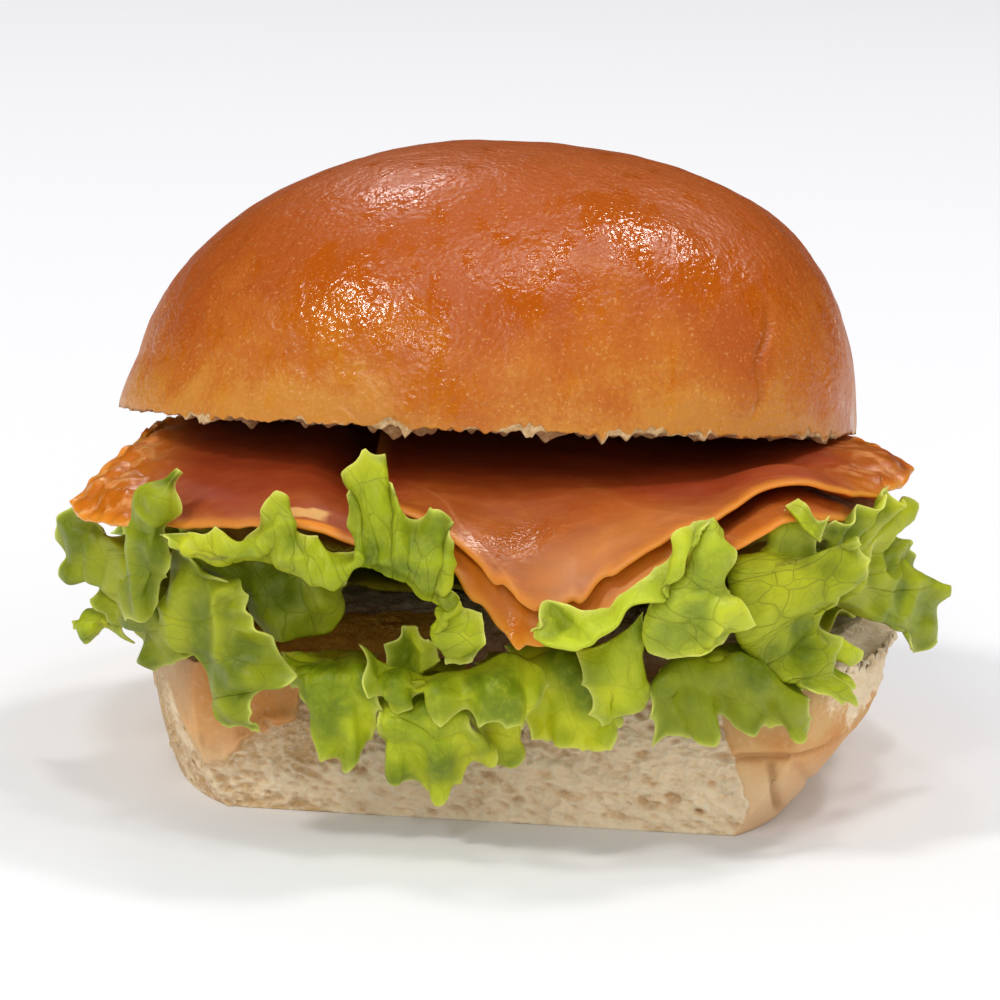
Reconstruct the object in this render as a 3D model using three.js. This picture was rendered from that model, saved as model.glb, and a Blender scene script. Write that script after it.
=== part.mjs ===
// A smoked salmon sandwich in a soft glazed roll: two halves of the roll, four draped slices of
// salmon and the frilled leaves of green lettuce between them.
// Millimetres, +Z up. The origin is the middle of the flat base, and the open mouth faces -Y.
import * as THREE from "three";

// ---------- Driving dimensions ----------
const LOWER_CUT_HEIGHT = 20; // the lower half's cut face, above the base
const UPPER_CUT_HEIGHT = 47.8; // the upper half's cut face, above the base on the centre line
const UPPER_TILT_DEG = 9; // the upper half stands open at the front by this angle
const UPPER_HALF = { width: 102.6, front: 49.5, back: 49.5, squareFront: 2.15, squareBack: 2.15 };
const UPPER_DOME = { height: 38.9, centreX: -1.3 };
const LOWER_HALF = { width: 104.4, front: 54, back: 50, squareFront: 2.9, squareBack: 2.5 };
const LOWER_CENTRE_X = 4.2;
const TORN_FRONT = { y: -41.5, slant: -0.075 }; // the pulled-apart front of the lower half
const SALMON_THICKNESS = 2;
const SALMON_LEVEL = { lower: 1.2, upper: 4 }; // middles of the two layers above the lettuce
const LEAF_THICKNESS = 0.6;

const TAU = 2 * Math.PI;
const mix = (a, b, t) => a + (b - a) * t;
const clamp01 = (t) => Math.min(Math.max(t, 0), 1);
const ease = (t) => clamp01(t) ** 2 * (3 - 2 * clamp01(t));

// ---------- Building blocks ----------

// A closed solid from vertices and triangles, turned so that its faces point out.
function solidGeometry(vertices, triangles) {
  let volume = 0;
  for (const [a, b, c] of triangles) {
    volume += vertices[a].dot(new THREE.Vector3().crossVectors(vertices[b], vertices[c]));
  }
  const index = triangles.flatMap(([a, b, c]) => (volume < 0 ? [a, c, b] : [a, b, c]));
  const geometry = new THREE.BufferGeometry();
  geometry.setAttribute(
    "position",
    new THREE.Float32BufferAttribute(vertices.flatMap((v) => v.toArray()), 3),
  );
  geometry.setIndex(index);
  geometry.computeVertexNormals();
  return geometry;
}

// A round solid of rings between two poles: ringPoint(s, angle), with s from 0 to 1 pole to pole.
function turnedSolid(ringPoint, rings, segments) {
  const vertices = [ringPoint(0, 0)];
  for (let i = 1; i < rings; i++) {
    for (let j = 0; j < segments; j++) vertices.push(ringPoint(i / rings, (TAU * j) / segments));
  }
  vertices.push(ringPoint(1, 0));
  const last = vertices.length - 1;
  const at = (i, j) => 1 + (i - 1) * segments + (j % segments);
  const triangles = [];
  for (let j = 0; j < segments; j++) {
    triangles.push([0, at(1, j), at(1, j + 1)]);
    for (let i = 1; i < rings - 1; i++) {
      triangles.push([at(i, j), at(i + 1, j), at(i + 1, j + 1)]);
      triangles.push([at(i, j), at(i + 1, j + 1), at(i, j + 1)]);
    }
    triangles.push([at(rings - 1, j), last, at(rings - 1, j + 1)]);
  }
  return solidGeometry(vertices, triangles);
}

// A thin solid on both sides of a curved surface(u, v), both faces split into triangles alike.
function sheetSolid(surface, columns, rows, thickness) {
  const stepU = 0.5 / columns;
  const stepV = 0.5 / rows;
  const front = [];
  const back = [];
  for (let i = 0; i <= columns; i++) {
    for (let j = 0; j <= rows; j++) {
      const u = i / columns;
      const v = j / rows;
      const across = surface(Math.min(u + stepU, 1), v).sub(surface(Math.max(u - stepU, 0), v));
      const along = surface(u, Math.min(v + stepV, 1)).sub(surface(u, Math.max(v - stepV, 0)));
      const half = across.cross(along).setLength(thickness / 2);
      front.push(surface(u, v).add(half));
      back.push(surface(u, v).sub(half));
    }
  }
  const offset = front.length;
  const at = (i, j) => i * (rows + 1) + j;
  const triangles = [];
  for (let i = 0; i < columns; i++) {
    for (let j = 0; j < rows; j++) {
      const quad = [at(i, j), at(i + 1, j), at(i + 1, j + 1), at(i, j + 1)];
      for (const [a, b, c] of [[0, 1, 2], [0, 2, 3]]) {
        triangles.push([quad[a], quad[b], quad[c]]);
        triangles.push([quad[a] + offset, quad[c] + offset, quad[b] + offset]);
      }
    }
  }
  const border = [];
  for (let i = 0; i < columns; i++) border.push([at(i, 0), at(i + 1, 0)]);
  for (let j = 0; j < rows; j++) border.push([at(columns, j), at(columns, j + 1)]);
  for (let i = columns; i > 0; i--) border.push([at(i, rows), at(i - 1, rows)]);
  for (let j = rows; j > 0; j--) border.push([at(0, j), at(0, j - 1)]);
  for (const [a, b] of border) {
    triangles.push([b, a, a + offset]);
    triangles.push([b, a + offset, b + offset]);
  }
  return solidGeometry([...front, ...back], triangles);
}

// The smooth line through the points, at u from 0 to 1, each span taking an equal share of u.
function lineThrough(points, u) {
  const spans = points.length - 1;
  const span = Math.min(Math.floor(u * spans), spans - 1);
  const t = u * spans - span;
  const beyond = (end, next) => end.map((value, k) => 2 * value - next[k]);
  const p1 = points[span];
  const p2 = points[span + 1];
  const p0 = span > 0 ? points[span - 1] : beyond(p1, p2);
  const p3 = span < spans - 1 ? points[span + 2] : beyond(p2, p1);
  return p1.map((value, k) => {
    const slopeIn = (p2[k] - p0[k]) / 2;
    const slopeOut = (p3[k] - value) / 2;
    const rise = p2[k] - value;
    return (
      value + slopeIn * t + (3 * rise - 2 * slopeIn - slopeOut) * t ** 2 +
      (slopeIn + slopeOut - 2 * rise) * t ** 3
    );
  });
}

// ---------- The roll ----------

// Radius of a rounded-square outline at an angle.
function outlineRadius({ width, front, back, squareFront, squareBack }, angle) {
  const squareness = Math.sin(angle) < 0 ? squareFront : squareBack;
  const reach = Math.sin(angle) < 0 ? front : back;
  const across = Math.abs(Math.cos(angle) / (width / 2)) ** squareness;
  const deep = Math.abs(Math.sin(angle) / reach) ** squareness;
  return (across + deep) ** (-1 / squareness);
}

// Gentle lumps of the glazed crust.
const crustLump = (angle, s) =>
  0.5 * Math.sin(3 * angle + 0.7) * Math.sin(Math.PI * s) +
  0.35 * Math.sin(5 * angle + 2.1) * Math.sin(TAU * s);

// Crags of torn crumb along the cut edge of the upper half.
const cutEdgeCrag = (angle) =>
  0.6 * Math.sin(17 * angle) + 0.5 * Math.sin(29 * angle + 1.3) + 0.2;

function upperHalf() {
  const domeShare = 14 / 18; // of the rings go to the dome, and the rest to the cut face
  const lipFlare = 0.035; // the crust flares at the cut edge, most of all on the left
  return turnedSolid((s, angle) => {
    const radius = outlineRadius(UPPER_HALF, angle);
    if (s <= domeShare) {
      const rise = ((s / domeShare) * Math.PI) / 2;
      const power = 2 / (2.23 + 0.2 * Math.cos(angle));
      const share = Math.sin(rise) ** power;
      const height = UPPER_DOME.height * Math.cos(rise) ** power;
      const flare = lipFlare * clamp01(-Math.cos(angle)) * clamp01(1 - height / 7);
      const reach = radius * share * (1 + flare) + crustLump(angle, s / domeShare);
      const edge = s === domeShare ? cutEdgeCrag(angle) : 0;
      return new THREE.Vector3(reach * Math.cos(angle), reach * Math.sin(angle), height + edge);
    }
    const share = (1 - s) / (1 - domeShare);
    const reach = radius * share * 0.985;
    const crag = 0.3 * Math.sin(5 * angle + 9 * share) * share;
    return new THREE.Vector3(reach * Math.cos(angle), reach * Math.sin(angle), crag);
  }, 18, 44);
}

function lowerHalf() {
  const baseShare = 2 / 13; // of the rings go to the flat base, then come the wall and the cut face
  const wallShare = 10 / 13;
  return turnedSolid((s, angle) => {
    const radius = outlineRadius(LOWER_HALF, angle);
    const frontness = clamp01(-Math.sin(angle)) ** 3;
    const tuck = 0.18 + 0.12 * Math.cos(angle); // the crust tucks in under the sides and back
    const steepness = 1.7 - 0.5 * clamp01(Math.cos(angle)); // the right side leans out evenly
    const baseReach = 1 - tuck * (1 - frontness);
    let reach = baseReach * (s / baseShare);
    let height = 0;
    if (s > baseShare) {
      const climb = clamp01((s - baseShare) / (wallShare - baseShare));
      reach = 1 - (1 - baseReach) * (1 - climb) ** steepness + 0.012 * Math.sin(Math.PI * climb);
      height = LOWER_CUT_HEIGHT * climb;
    }
    if (s > wallShare) {
      reach = (1 - s) / (1 - wallShare);
      height = LOWER_CUT_HEIGHT + 0.3 * Math.sin(6 * angle + 8 * reach) * reach - 0.3;
    }
    const x = LOWER_CENTRE_X + radius * reach * Math.cos(angle);
    const y = radius * reach * Math.sin(angle);
    const torn =
      TORN_FRONT.y + TORN_FRONT.slant * x + 0.5 * Math.sin(0.35 * x + 0.5 * height) * (height > 0);
    return new THREE.Vector3(x, Math.max(y, torn), height);
  }, 13, 44);
}

// ---------- The salmon ----------

// Height of the upper half's cut face above the base, at depth y.
const upperCut = (y) => UPPER_CUT_HEIGHT - y * Math.tan(THREE.MathUtils.degToRad(UPPER_TILT_DEG));

// Top of the lettuce bed, which the salmon lies on. It is level under the mouth and follows the
// upper half at the back. It falls over the front as a tongue, and away at both ends.
function bedHeight(x, y) {
  const level = 42.5;
  const underBun = upperCut(y) - 6.3;
  const roof = (level + underBun - Math.hypot(level - underBun, 1.5)) / 2 + 0.4;
  const tongue = 2.8 + 12 * Math.exp(-(((x - 5) / 13) ** 2));
  const front = tongue * (Math.max(-y - 40, 0) / 18.5) ** 2;
  const leftCorner = Math.max(-x - 40 + 0.6 * (-y - 10), 0);
  const left = 9.5 * (leftCorner / 30) ** 2.5;
  const right = 2 * clamp01((x - 46) / 10) ** 2 + 1.5 * clamp01((x - 44) / 6) * ease((-y - 26) / 10);
  const arch = 3 * Math.exp(-(((x - 37.5) / 5.5) ** 2)) * ease((-y - 33) / 11);
  return roof - front - left - right + arch;
}

// A point in the stack of layers: so far above the bed, square to it.
function inStack(x, y, level) {
  const step = 0.5;
  const slopeX = (bedHeight(x + step, y) - bedHeight(x - step, y)) / (2 * step);
  const slopeY = (bedHeight(x, y + step) - bedHeight(x, y - step)) / (2 * step);
  const up = new THREE.Vector3(-slopeX, -slopeY, 1).normalize();
  return new THREE.Vector3(x, y, bedHeight(x, y)).addScaledVector(up, level);
}

// A slice reaches from its back edge to its front edge, both given in plan, at a level that may
// change along it.
function salmonSlice({ front, back, level }) {
  const surface = (u, v) => {
    const [frontX, frontY] = lineThrough(front, u);
    const [backX, backY] = lineThrough(back, u);
    const share = 1 - (1 - v) ** 1.6; // the rows lie closer together towards the front edge
    const x = mix(backX, frontX, share);
    const y = mix(backY, frontY, share);
    return inStack(x, y, level(x, y));
  };
  return sheetSolid(surface, 2 * (front.length - 1), 9, SALMON_THICKNESS);
}

const stepUp = (share) => mix(SALMON_LEVEL.lower, SALMON_LEVEL.upper, ease(share));

const SLICES = {
  salmon_left: {
    front: [
      [-55.5, -29], [-53.3, -35], [-48.5, -41], [-42, -47], [-34, -53], [-27, -56], [-18, -57.5], [-9, -56],
    ],
    back: [[-47, -12], [-44, 4], [-34, 22], [-22, 34], [-9, 37]],
    level: (x) => stepUp((-18 - x) / 8),
  },
  salmon_under: {
    front: [[-8.5, -56], [-3, -57.4], [3.5, -58.6], [10, -57.5], [17, -56], [26, -54]],
    back: [[-8.5, 36], [26, 35]],
    level: () => SALMON_LEVEL.lower,
  },
  salmon_upper: {
    front: [
      [-17, -51.5], [-8, -54.3], [0, -55.6], [8, -56], [14, -55.8], [20, -55], [26, -53.2],
      [32, -51], [38, -48], [44, -43.5], [49.5, -37.5], [53, -30], [54.5, -22],
    ],
    back: [[-17, 34], [8, 39], [30, 32], [42, 15], [48, -8], [50, -15]],
    level: () => SALMON_LEVEL.upper,
  },
  salmon_right: {
    front: [[26.8, -52.5], [32, -50], [38, -46.8], [44, -42.3], [49, -36], [51.5, -29]],
    back: [[26.8, 32], [38, 20], [45, 4], [48.5, -13]],
    level: () => SALMON_LEVEL.lower,
  },
};

// ---------- The lettuce ----------

// A leaf is the smooth surface through two or more lines, from its root to its frilled rim. It
// bulges between them.
function leafSheet({ lines, bulge = [0, 0, 0], rows, perSpan }) {
  const surface = (u, v) => {
    const point = lineThrough(lines.map((line) => lineThrough(line, u)), v);
    return new THREE.Vector3(...point).addScaledVector(new THREE.Vector3(...bulge), Math.sin(Math.PI * v));
  };
  return sheetSolid(surface, (lines.at(-1).length - 1) * perSpan, rows, LEAF_THICKNESS);
}

// The leaves that show at the mouth, left to right, as lines of points [x, y, z], root first.
const LEAVES = {
  lettuce_outer_left: {
    lines: [
      [[-44, -28, 36.5], [-42, -31, 32], [-40, -34, 28], [-38, -36, 25]],
      [[-52, -33, 35.5], [-49.5, -37, 35], [-48, -40, 33.5], [-46.5, -42, 30.5], [-45, -43, 27.5],
        [-43, -44, 24], [-40.5, -44, 22]],
      [[-55.5, -28, 37], [-55, -31, 34], [-54, -33, 30.5], [-51, -36, 27.5], [-49, -38, 25.5],
        [-46, -40, 23], [-43, -42, 20.5]],
      [[-58.5, -25, 38.5], [-60.5, -24, 34], [-60.5, -25, 29.5], [-57, -27, 28], [-53, -31, 25],
        [-47.5, -36, 20.5], [-45.5, -39, 18.5]],
    ],
    rows: 6, perSpan: 2,
  },
  lettuce_left_tip: {
    lines: [
      [[-57.5, -22.5, 21.5], [-56, -23.5, 23], [-54, -25.5, 23.5], [-51.5, -28, 23.5],
        [-49.5, -30, 23.5]],
      [[-58, -22.5, 20], [-56.5, -23.5, 19.5], [-54, -25.5, 20], [-51.5, -28, 21], [-49, -30, 21.5]],
    ],
    bulge: [-1, -2, 0], rows: 2, perSpan: 2,
  },
  lettuce_left_spear: {
    lines: [
      [[-42.5, -48.5, 48.5], [-45.5, -48, 46], [-48, -47.5, 43.5], [-48, -47, 40], [-49, -46.5, 34],
        [-50, -45.5, 30], [-49, -44.5, 27.5]],
      [[-42, -49.5, 48.5], [-44, -50.5, 46], [-45, -51.5, 43.5], [-45.5, -52, 39.5],
        [-46, -51.5, 35.5], [-47, -49.5, 31], [-47, -47.5, 28]],
      [[-41.5, -49, 48], [-42.5, -49.5, 46], [-42.5, -50, 44], [-43, -50.5, 40], [-43.5, -50, 35],
        [-44, -49, 31.5], [-45.5, -47.5, 29]],
    ],
    rows: 4, perSpan: 2,
  },
  lettuce_front_left: {
    lines: [
      [[-42.5, -46, 37.5], [-43.5, -46, 33], [-44, -46, 28.5], [-43.5, -46.5, 25], [-39.5, -49, 23.5],
        [-37.5, -51.5, 20], [-36.5, -52.5, 17.5], [-35.5, -53, 15]],
      [[-40.5, -50, 37], [-38.5, -52.5, 34], [-38, -52, 29.5], [-37, -53, 26], [-34, -56, 24],
        [-33, -57, 21.5], [-33.5, -56, 18.5], [-33, -54.5, 15]],
      [[-38, -52, 35], [-34, -54.5, 35.5], [-32, -56.5, 32.5], [-29.5, -57.5, 29], [-28, -57.5, 26],
        [-26.5, -57.5, 23], [-31.5, -56.5, 19.5], [-30.5, -54.5, 14]],
    ],
    rows: 4, perSpan: 2,
  },
  lettuce_middle_frill: {
    lines: [
      [[-39, -48, 38], [-30, -51, 38], [-20, -52, 38], [-12, -53, 37], [-7, -54, 34], [-4, -54, 30]],
      [[-42, -54, 39.5], [-40, -56, 39], [-37, -58, 38.5], [-31.5, -60, 40], [-28.5, -61.5, 41.5],
        [-26.5, -62.5, 39.5], [-23.5, -64, 38], [-20.5, -65, 38.5], [-18.5, -65, 40],
        [-17.5, -64.5, 41], [-16, -64, 41.5], [-15, -63.5, 41.5], [-14.5, -63.5, 41],
        [-13.5, -64, 40.5], [-12.5, -64.5, 40], [-11.5, -65, 39.5], [-10, -65, 38.5], [-9, -65, 37.5],
        [-7.5, -64.5, 37], [-6.5, -64, 36.5], [-6, -63.5, 35], [-6.5, -63, 33], [-7.5, -62.5, 31],
        [-7, -62, 29], [-6.5, -61.5, 27.5]],
      [[-43.5, -52.5, 40], [-41.5, -53, 41.5], [-38, -55, 41], [-33.5, -57, 41], [-30.5, -58.5, 45.5],
        [-28, -59, 48], [-26, -60, 43.5], [-23, -61, 41], [-18.5, -62, 42.5], [-19, -61, 47],
        [-20.5, -60.5, 49], [-20, -60.5, 51.5], [-17.5, -60.5, 53.5], [-15, -60.5, 53.5],
        [-14, -61.5, 49.5], [-12, -62.5, 46.5], [-9.5, -63, 46.5], [-7, -63.5, 47.5], [-6, -64, 44],
        [-8, -62.5, 40.5], [-7.5, -62, 37.5], [-4.5, -62, 35], [-1.5, -61.5, 32.5], [-2, -61.5, 28],
        [-4.5, -61, 26.5]],
    ],
    rows: 6, perSpan: 2,
  },
  lettuce_inner: {
    lines: [
      [[-41.5, -45, 35.5], [-38.5, -46, 33.5], [-33, -47, 31], [-29, -48, 26.5], [-24, -47.5, 26.5],
        [-21, -46, 29], [-20, -45, 32.5]],
      [[-41, -47, 37.5], [-38.5, -48, 37.5], [-34.5, -49, 38], [-30, -49.5, 38], [-26, -49.5, 37],
        [-22.5, -48.5, 35.5], [-19.5, -47, 35]],
    ],
    bulge: [0, -2, 0], rows: 3, perSpan: 2,
  },
  lettuce_low_left: {
    lines: [
      [[-23, -34, 21], [-20, -34, 21], [-16, -34, 21]],
      [[-28, -47, 23.5], [-25.5, -48.5, 22.5], [-23, -49.5, 22.5], [-20, -50, 22.5],
        [-18, -50.5, 23.5], [-15, -51.5, 21]],
      [[-26.5, -51, 21.5], [-25, -52, 18], [-23.5, -52, 13.5], [-19, -53, 9.5], [-17, -53.5, 12.5],
        [-15, -52.5, 13]],
    ],
    bulge: [0, -3, 0.5], rows: 5, perSpan: 2,
  },
  lettuce_low_fold: {
    lines: [
      [[-14, -53, 23], [-12.5, -53.5, 23], [-10.5, -54, 23], [-9, -54, 23.5], [-7, -54, 25]],
      [[-14.5, -52, 27], [-12, -52, 27.5], [-10.5, -52, 29.5], [-9.5, -53, 28.5], [-7.5, -53.5, 28]],
    ],
    bulge: [0, 1, 0], rows: 2, perSpan: 2,
  },
  lettuce_roll: {
    lines: [
      [[-17, -53.5, 26.5], [-14, -55, 25], [-10.5, -56, 24.5], [-6.5, -56.5, 24], [-1.5, -56.5, 25.5],
        [2.5, -56, 27], [6, -56.5, 26], [7, -56.5, 24]],
      [[-16.5, -56, 24.5], [-13.5, -58.5, 22], [-10.5, -59.5, 23.5], [-7, -61, 22.5],
        [-2.5, -61.5, 23], [1.5, -61.5, 23.5], [5, -60.5, 22.5], [6.5, -58.5, 22]],
      [[-16.5, -56.5, 22], [-12.5, -57.5, 18.5], [-10.5, -58, 21.5], [-7.5, -60, 19.5],
        [-3.5, -61, 20], [1, -61.5, 19.5], [4.5, -61, 18.5], [5.5, -59.5, 20]],
    ],
    rows: 4, perSpan: 2,
  },
  lettuce_low_front: {
    lines: [
      [[-13, -35, 21], [-8, -35, 21], [-4, -35, 21]],
      [[-15, -53.5, 18.5], [-13, -54, 19], [-11, -54.5, 19.5], [-8, -55.5, 19.5], [-6, -56, 19.5],
        [-4, -56, 19.5], [-3, -56, 19]],
      [[-14.5, -52, 14.5], [-13, -51, 8.5], [-11, -51.5, 8.5], [-7, -53, 6], [-3.5, -53.5, 9.5],
        [0, -53.5, 11.5], [-1.5, -54, 15]],
    ],
    bulge: [0, -2.5, 0], rows: 5, perSpan: 2,
  },
  lettuce_low_behind: {
    lines: [
      [[-1, -36, 22], [1, -36, 22], [3, -36, 22]],
      [[-3.5, -50.5, 19], [-1.5, -50.5, 19], [0.5, -50.5, 18.5], [2.5, -50.5, 18.5], [4, -50.5, 18]],
      [[-1.5, -49.5, 13.5], [0.5, -49.5, 10.5], [3, -49.5, 10.5], [4, -49.5, 11.5], [4.5, -49.5, 14]],
    ],
    bulge: [0, -1.5, 0], rows: 4, perSpan: 2,
  },
  lettuce_middle: {
    lines: [
      [[5, -33, 24], [10, -33, 24], [14, -33, 24]],
      [[2, -46, 25], [4.5, -47, 25], [8, -48, 25.5], [11.5, -49, 25], [15, -50, 24]],
      [[5.5, -52, 14.5], [8, -52, 14.5], [11.5, -53, 13.5], [15, -54, 14], [16, -53, 18.5]],
    ],
    bulge: [0, -3, 0], rows: 5, perSpan: 2,
  },
  lettuce_middle_right: {
    lines: [
      [[10.5, -57, 28], [13.5, -58, 29], [16.5, -58.5, 31], [19, -58.5, 34]],
      [[14.5, -56, 17.5], [17, -56, 18.5], [19.5, -55.5, 21.5], [20, -55.5, 25]],
    ],
    bulge: [0, -1, 0], rows: 3, perSpan: 3,
  },
  lettuce_curl: {
    lines: [
      [[5, -62.5, 31], [6.5, -64.5, 30.5], [8.5, -66, 30.5], [11, -67, 30.5], [13.5, -67, 32],
        [15.5, -67, 34], [17.5, -66, 36.5], [21.5, -65, 37], [21, -64.5, 38.5], [23.5, -64, 40],
        [24.5, -63, 43], [25.5, -61.5, 45.5]],
      [[5, -61.5, 31.5], [7, -61, 33], [9, -61.5, 32.5], [11, -62.5, 32.5], [12.5, -64, 33.5],
        [15, -65, 35.5], [17.5, -65, 37.5], [20, -64, 39], [22, -63, 41], [24, -62.5, 43.5],
        [25, -61.5, 45.5], [26.5, -60.5, 46.5]],
      [[4.5, -61.5, 31.5], [5.5, -62, 34], [8, -62, 35.5], [10, -62, 35.5], [12, -63, 35],
        [14, -64, 36], [16.5, -64, 37.5], [19, -63.5, 40], [22, -62, 42.5], [23.5, -61, 45.5],
        [25.5, -60, 47], [27.5, -59, 47]],
    ],
    rows: 4, perSpan: 2,
  },
  lettuce_veined: {
    lines: [
      [[30, -48, 38], [28, -49, 36], [26, -50, 33], [24.5, -50, 30]],
      [[27.5, -57.5, 46], [26, -59.5, 43.5], [24.5, -61.5, 40], [21.5, -62.5, 37], [20, -62, 34],
        [20, -60, 29.5]],
      [[28, -57.5, 46], [28, -60, 43], [28, -62, 39], [27.5, -63.5, 36], [26.5, -63, 32.5],
        [23, -61, 29]],
      [[28.5, -57, 45.5], [29.5, -58.5, 42], [30, -59.5, 38.5], [32, -60.5, 35], [31, -60.5, 31.5],
        [27.5, -61, 29.5]],
    ],
    rows: 6, perSpan: 2,
  },
  lettuce_low_right: {
    lines: [
      [[24, -36, 23], [30, -35, 23.5], [38, -30, 23]],
      [[21, -52, 23], [22, -52.5, 25.5], [24.5, -53.5, 27.5], [28.5, -54, 28.5], [32, -53.5, 28],
        [35, -52.5, 26], [38, -51, 24], [41, -49.5, 22]],
      [[21.5, -54.5, 16], [24, -55.5, 16.5], [29, -56.5, 16], [30, -56, 19], [34, -54, 17.5],
        [37.5, -53, 17.5], [40.5, -52, 16], [42, -50.5, 17.5]],
    ],
    bulge: [0, -3.5, 0], rows: 6, perSpan: 2,
  },
  lettuce_right: {
    lines: [
      [[40, -41, 38], [38, -43, 36], [37, -44, 33], [38, -44, 30], [41, -42, 27]],
      [[36.5, -50.5, 45], [35, -51.5, 41], [31, -53.5, 40], [31, -54.5, 36], [32, -55, 33.5],
        [32.5, -55, 31], [33.5, -54.5, 28.5], [36, -54, 26], [40.5, -53, 24]],
      [[38, -50.5, 47], [41.5, -51, 42.5], [43.5, -51, 38.5], [47, -49.5, 43], [47.5, -49.5, 39.5],
        [48.5, -49.5, 37.5], [43.5, -50, 35], [43.5, -49, 30.5], [47.5, -47.5, 19.5]],
    ],
    bulge: [0, -1, 0], rows: 6, perSpan: 2,
  },
  lettuce_right_fold: {
    lines: [
      [[37, -53, 47.5], [38.5, -54.5, 46], [40, -54.5, 44.5], [42, -53.5, 43]],
      [[38.5, -51.5, 48], [40, -52, 47], [41.5, -52, 45.5], [43, -51.5, 46]],
    ],
    rows: 2, perSpan: 2,
  },
  lettuce_right_edge: {
    lines: [
      [[40.5, -48.5, 28.5], [42.5, -48.5, 27], [44, -48, 25], [43.5, -47.5, 22.5]],
      [[45, -44.5, 28.5], [47.5, -43.5, 25.5], [45.5, -44.5, 25.5], [47.5, -44, 21]],
    ],
    rows: 2, perSpan: 2,
  },
  lettuce_far_right: {
    lines: [
      [[40, -40, 40], [41, -37, 37], [42, -34, 34], [45, -29, 31], [48, -24, 29]],
      [[43, -47.5, 41.5], [44, -47, 41], [45, -45.5, 40], [45.5, -45, 39], [46, -44.5, 38],
        [46.5, -44, 37], [46.5, -43, 35.5], [46.5, -42, 34.5], [46.5, -41, 33.5], [48.5, -38, 31],
        [52, -34, 28.5], [55.5, -29, 26]],
      [[42.5, -48.5, 44], [47.5, -46, 45], [50.5, -41.5, 47], [53.5, -34, 45], [56, -30, 44],
        [54, -28, 39], [57, -24, 35.5], [60.5, -22, 31], [62.5, -20, 29], [61.5, -20, 25.5],
        [60.5, -21, 23.5], [59, -22, 20.5]],
    ],
    rows: 6, perSpan: 2,
  },
};

// A leaf that runs through the sandwich, from a line behind its mouth, and shows as a wavy frill
// round its back and sides.
function backLeaf({ reach, rootHeight, rimHeight, dip }) {
  const from = THREE.MathUtils.degToRad(-32);
  const sweep = THREE.MathUtils.degToRad(244);
  const surface = (u, v) => {
    const angle = from + sweep * u;
    const wave = 1.7 * Math.sin(8 * TAU * u + 0.6) + 0.8 * Math.sin(5 * TAU * u + 2.1);
    const edge = ease((v - 0.6) / 0.4);
    const drawnIn = 5 * Math.abs(2 * u - 1) ** 6; // behind the leaves of the mouth
    const radius = reach + 1.5 * Math.sin(7 * TAU * u) - drawnIn;
    const x = mix(34 * (1 - 2 * u), radius * Math.cos(angle), v);
    const y = mix(-24, 0.9 * radius * Math.sin(angle), v);
    const z = mix(rootHeight, rimHeight, v) + wave * edge - dip * edge ** 2;
    return new THREE.Vector3(1.5 + x, 2 + y, z);
  };
  return sheetSolid(surface, 46, 3, LEAF_THICKNESS);
}

const BACK_LEAVES = {
  lettuce_back_upper: { reach: 56.5, rootHeight: 33, rimHeight: 33, dip: 0 },
  lettuce_back_middle: { reach: 57.5, rootHeight: 28.5, rimHeight: 30, dip: 1.5 },
  lettuce_back_lower: { reach: 58, rootHeight: 23.5, rimHeight: 25.5, dip: 2.5 },
};

// ---------- The sandwich ----------

const finish = (color, roughness) => new THREE.MeshStandardMaterial({ color, roughness, metalness: 0 });
const CRUST = finish(0xb8601f, 0.35);
const CRUMB = finish(0xd9c3a5, 0.9);
const SALMON = finish(0xd5662a, 0.3);
const LETTUCE = finish(0x86a82a, 0.5);

const sandwich = new THREE.Group();

function addPiece(name, geometry, material) {
  const mesh = new THREE.Mesh(geometry, material);
  mesh.name = name;
  sandwich.add(mesh);
  return mesh;
}

addPiece("bun_lower", lowerHalf(), CRUMB);
const lid = addPiece("bun_upper", upperHalf(), CRUST);
lid.rotation.x = THREE.MathUtils.degToRad(-UPPER_TILT_DEG);
lid.position.set(UPPER_DOME.centreX, 0, UPPER_CUT_HEIGHT);
for (const [name, slice] of Object.entries(SLICES)) addPiece(name, salmonSlice(slice), SALMON);
for (const [name, leaf] of Object.entries(LEAVES)) addPiece(name, leafSheet(leaf), LETTUCE);
for (const [name, leaf] of Object.entries(BACK_LEAVES)) addPiece(name, backLeaf(leaf), LETTUCE);

export default sandwich;
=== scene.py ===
# %% [markdown]
# # A smoked salmon sandwich in a soft glazed roll
#
# The solids of this sandwich are already built and packed. This lesson dresses them: every solid is
# replaced by a finer surface of the same form, worked out with numpy as whole arrays, and gets a
# finish made of shader nodes. Lengths are in millimetres until a mesh is made, +Z is up, the open
# mouth faces -Y, and the origin is the middle of the flat base.

# %% Load the frame
import bpy
import numpy as np
from mathutils import Matrix, Vector


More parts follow.
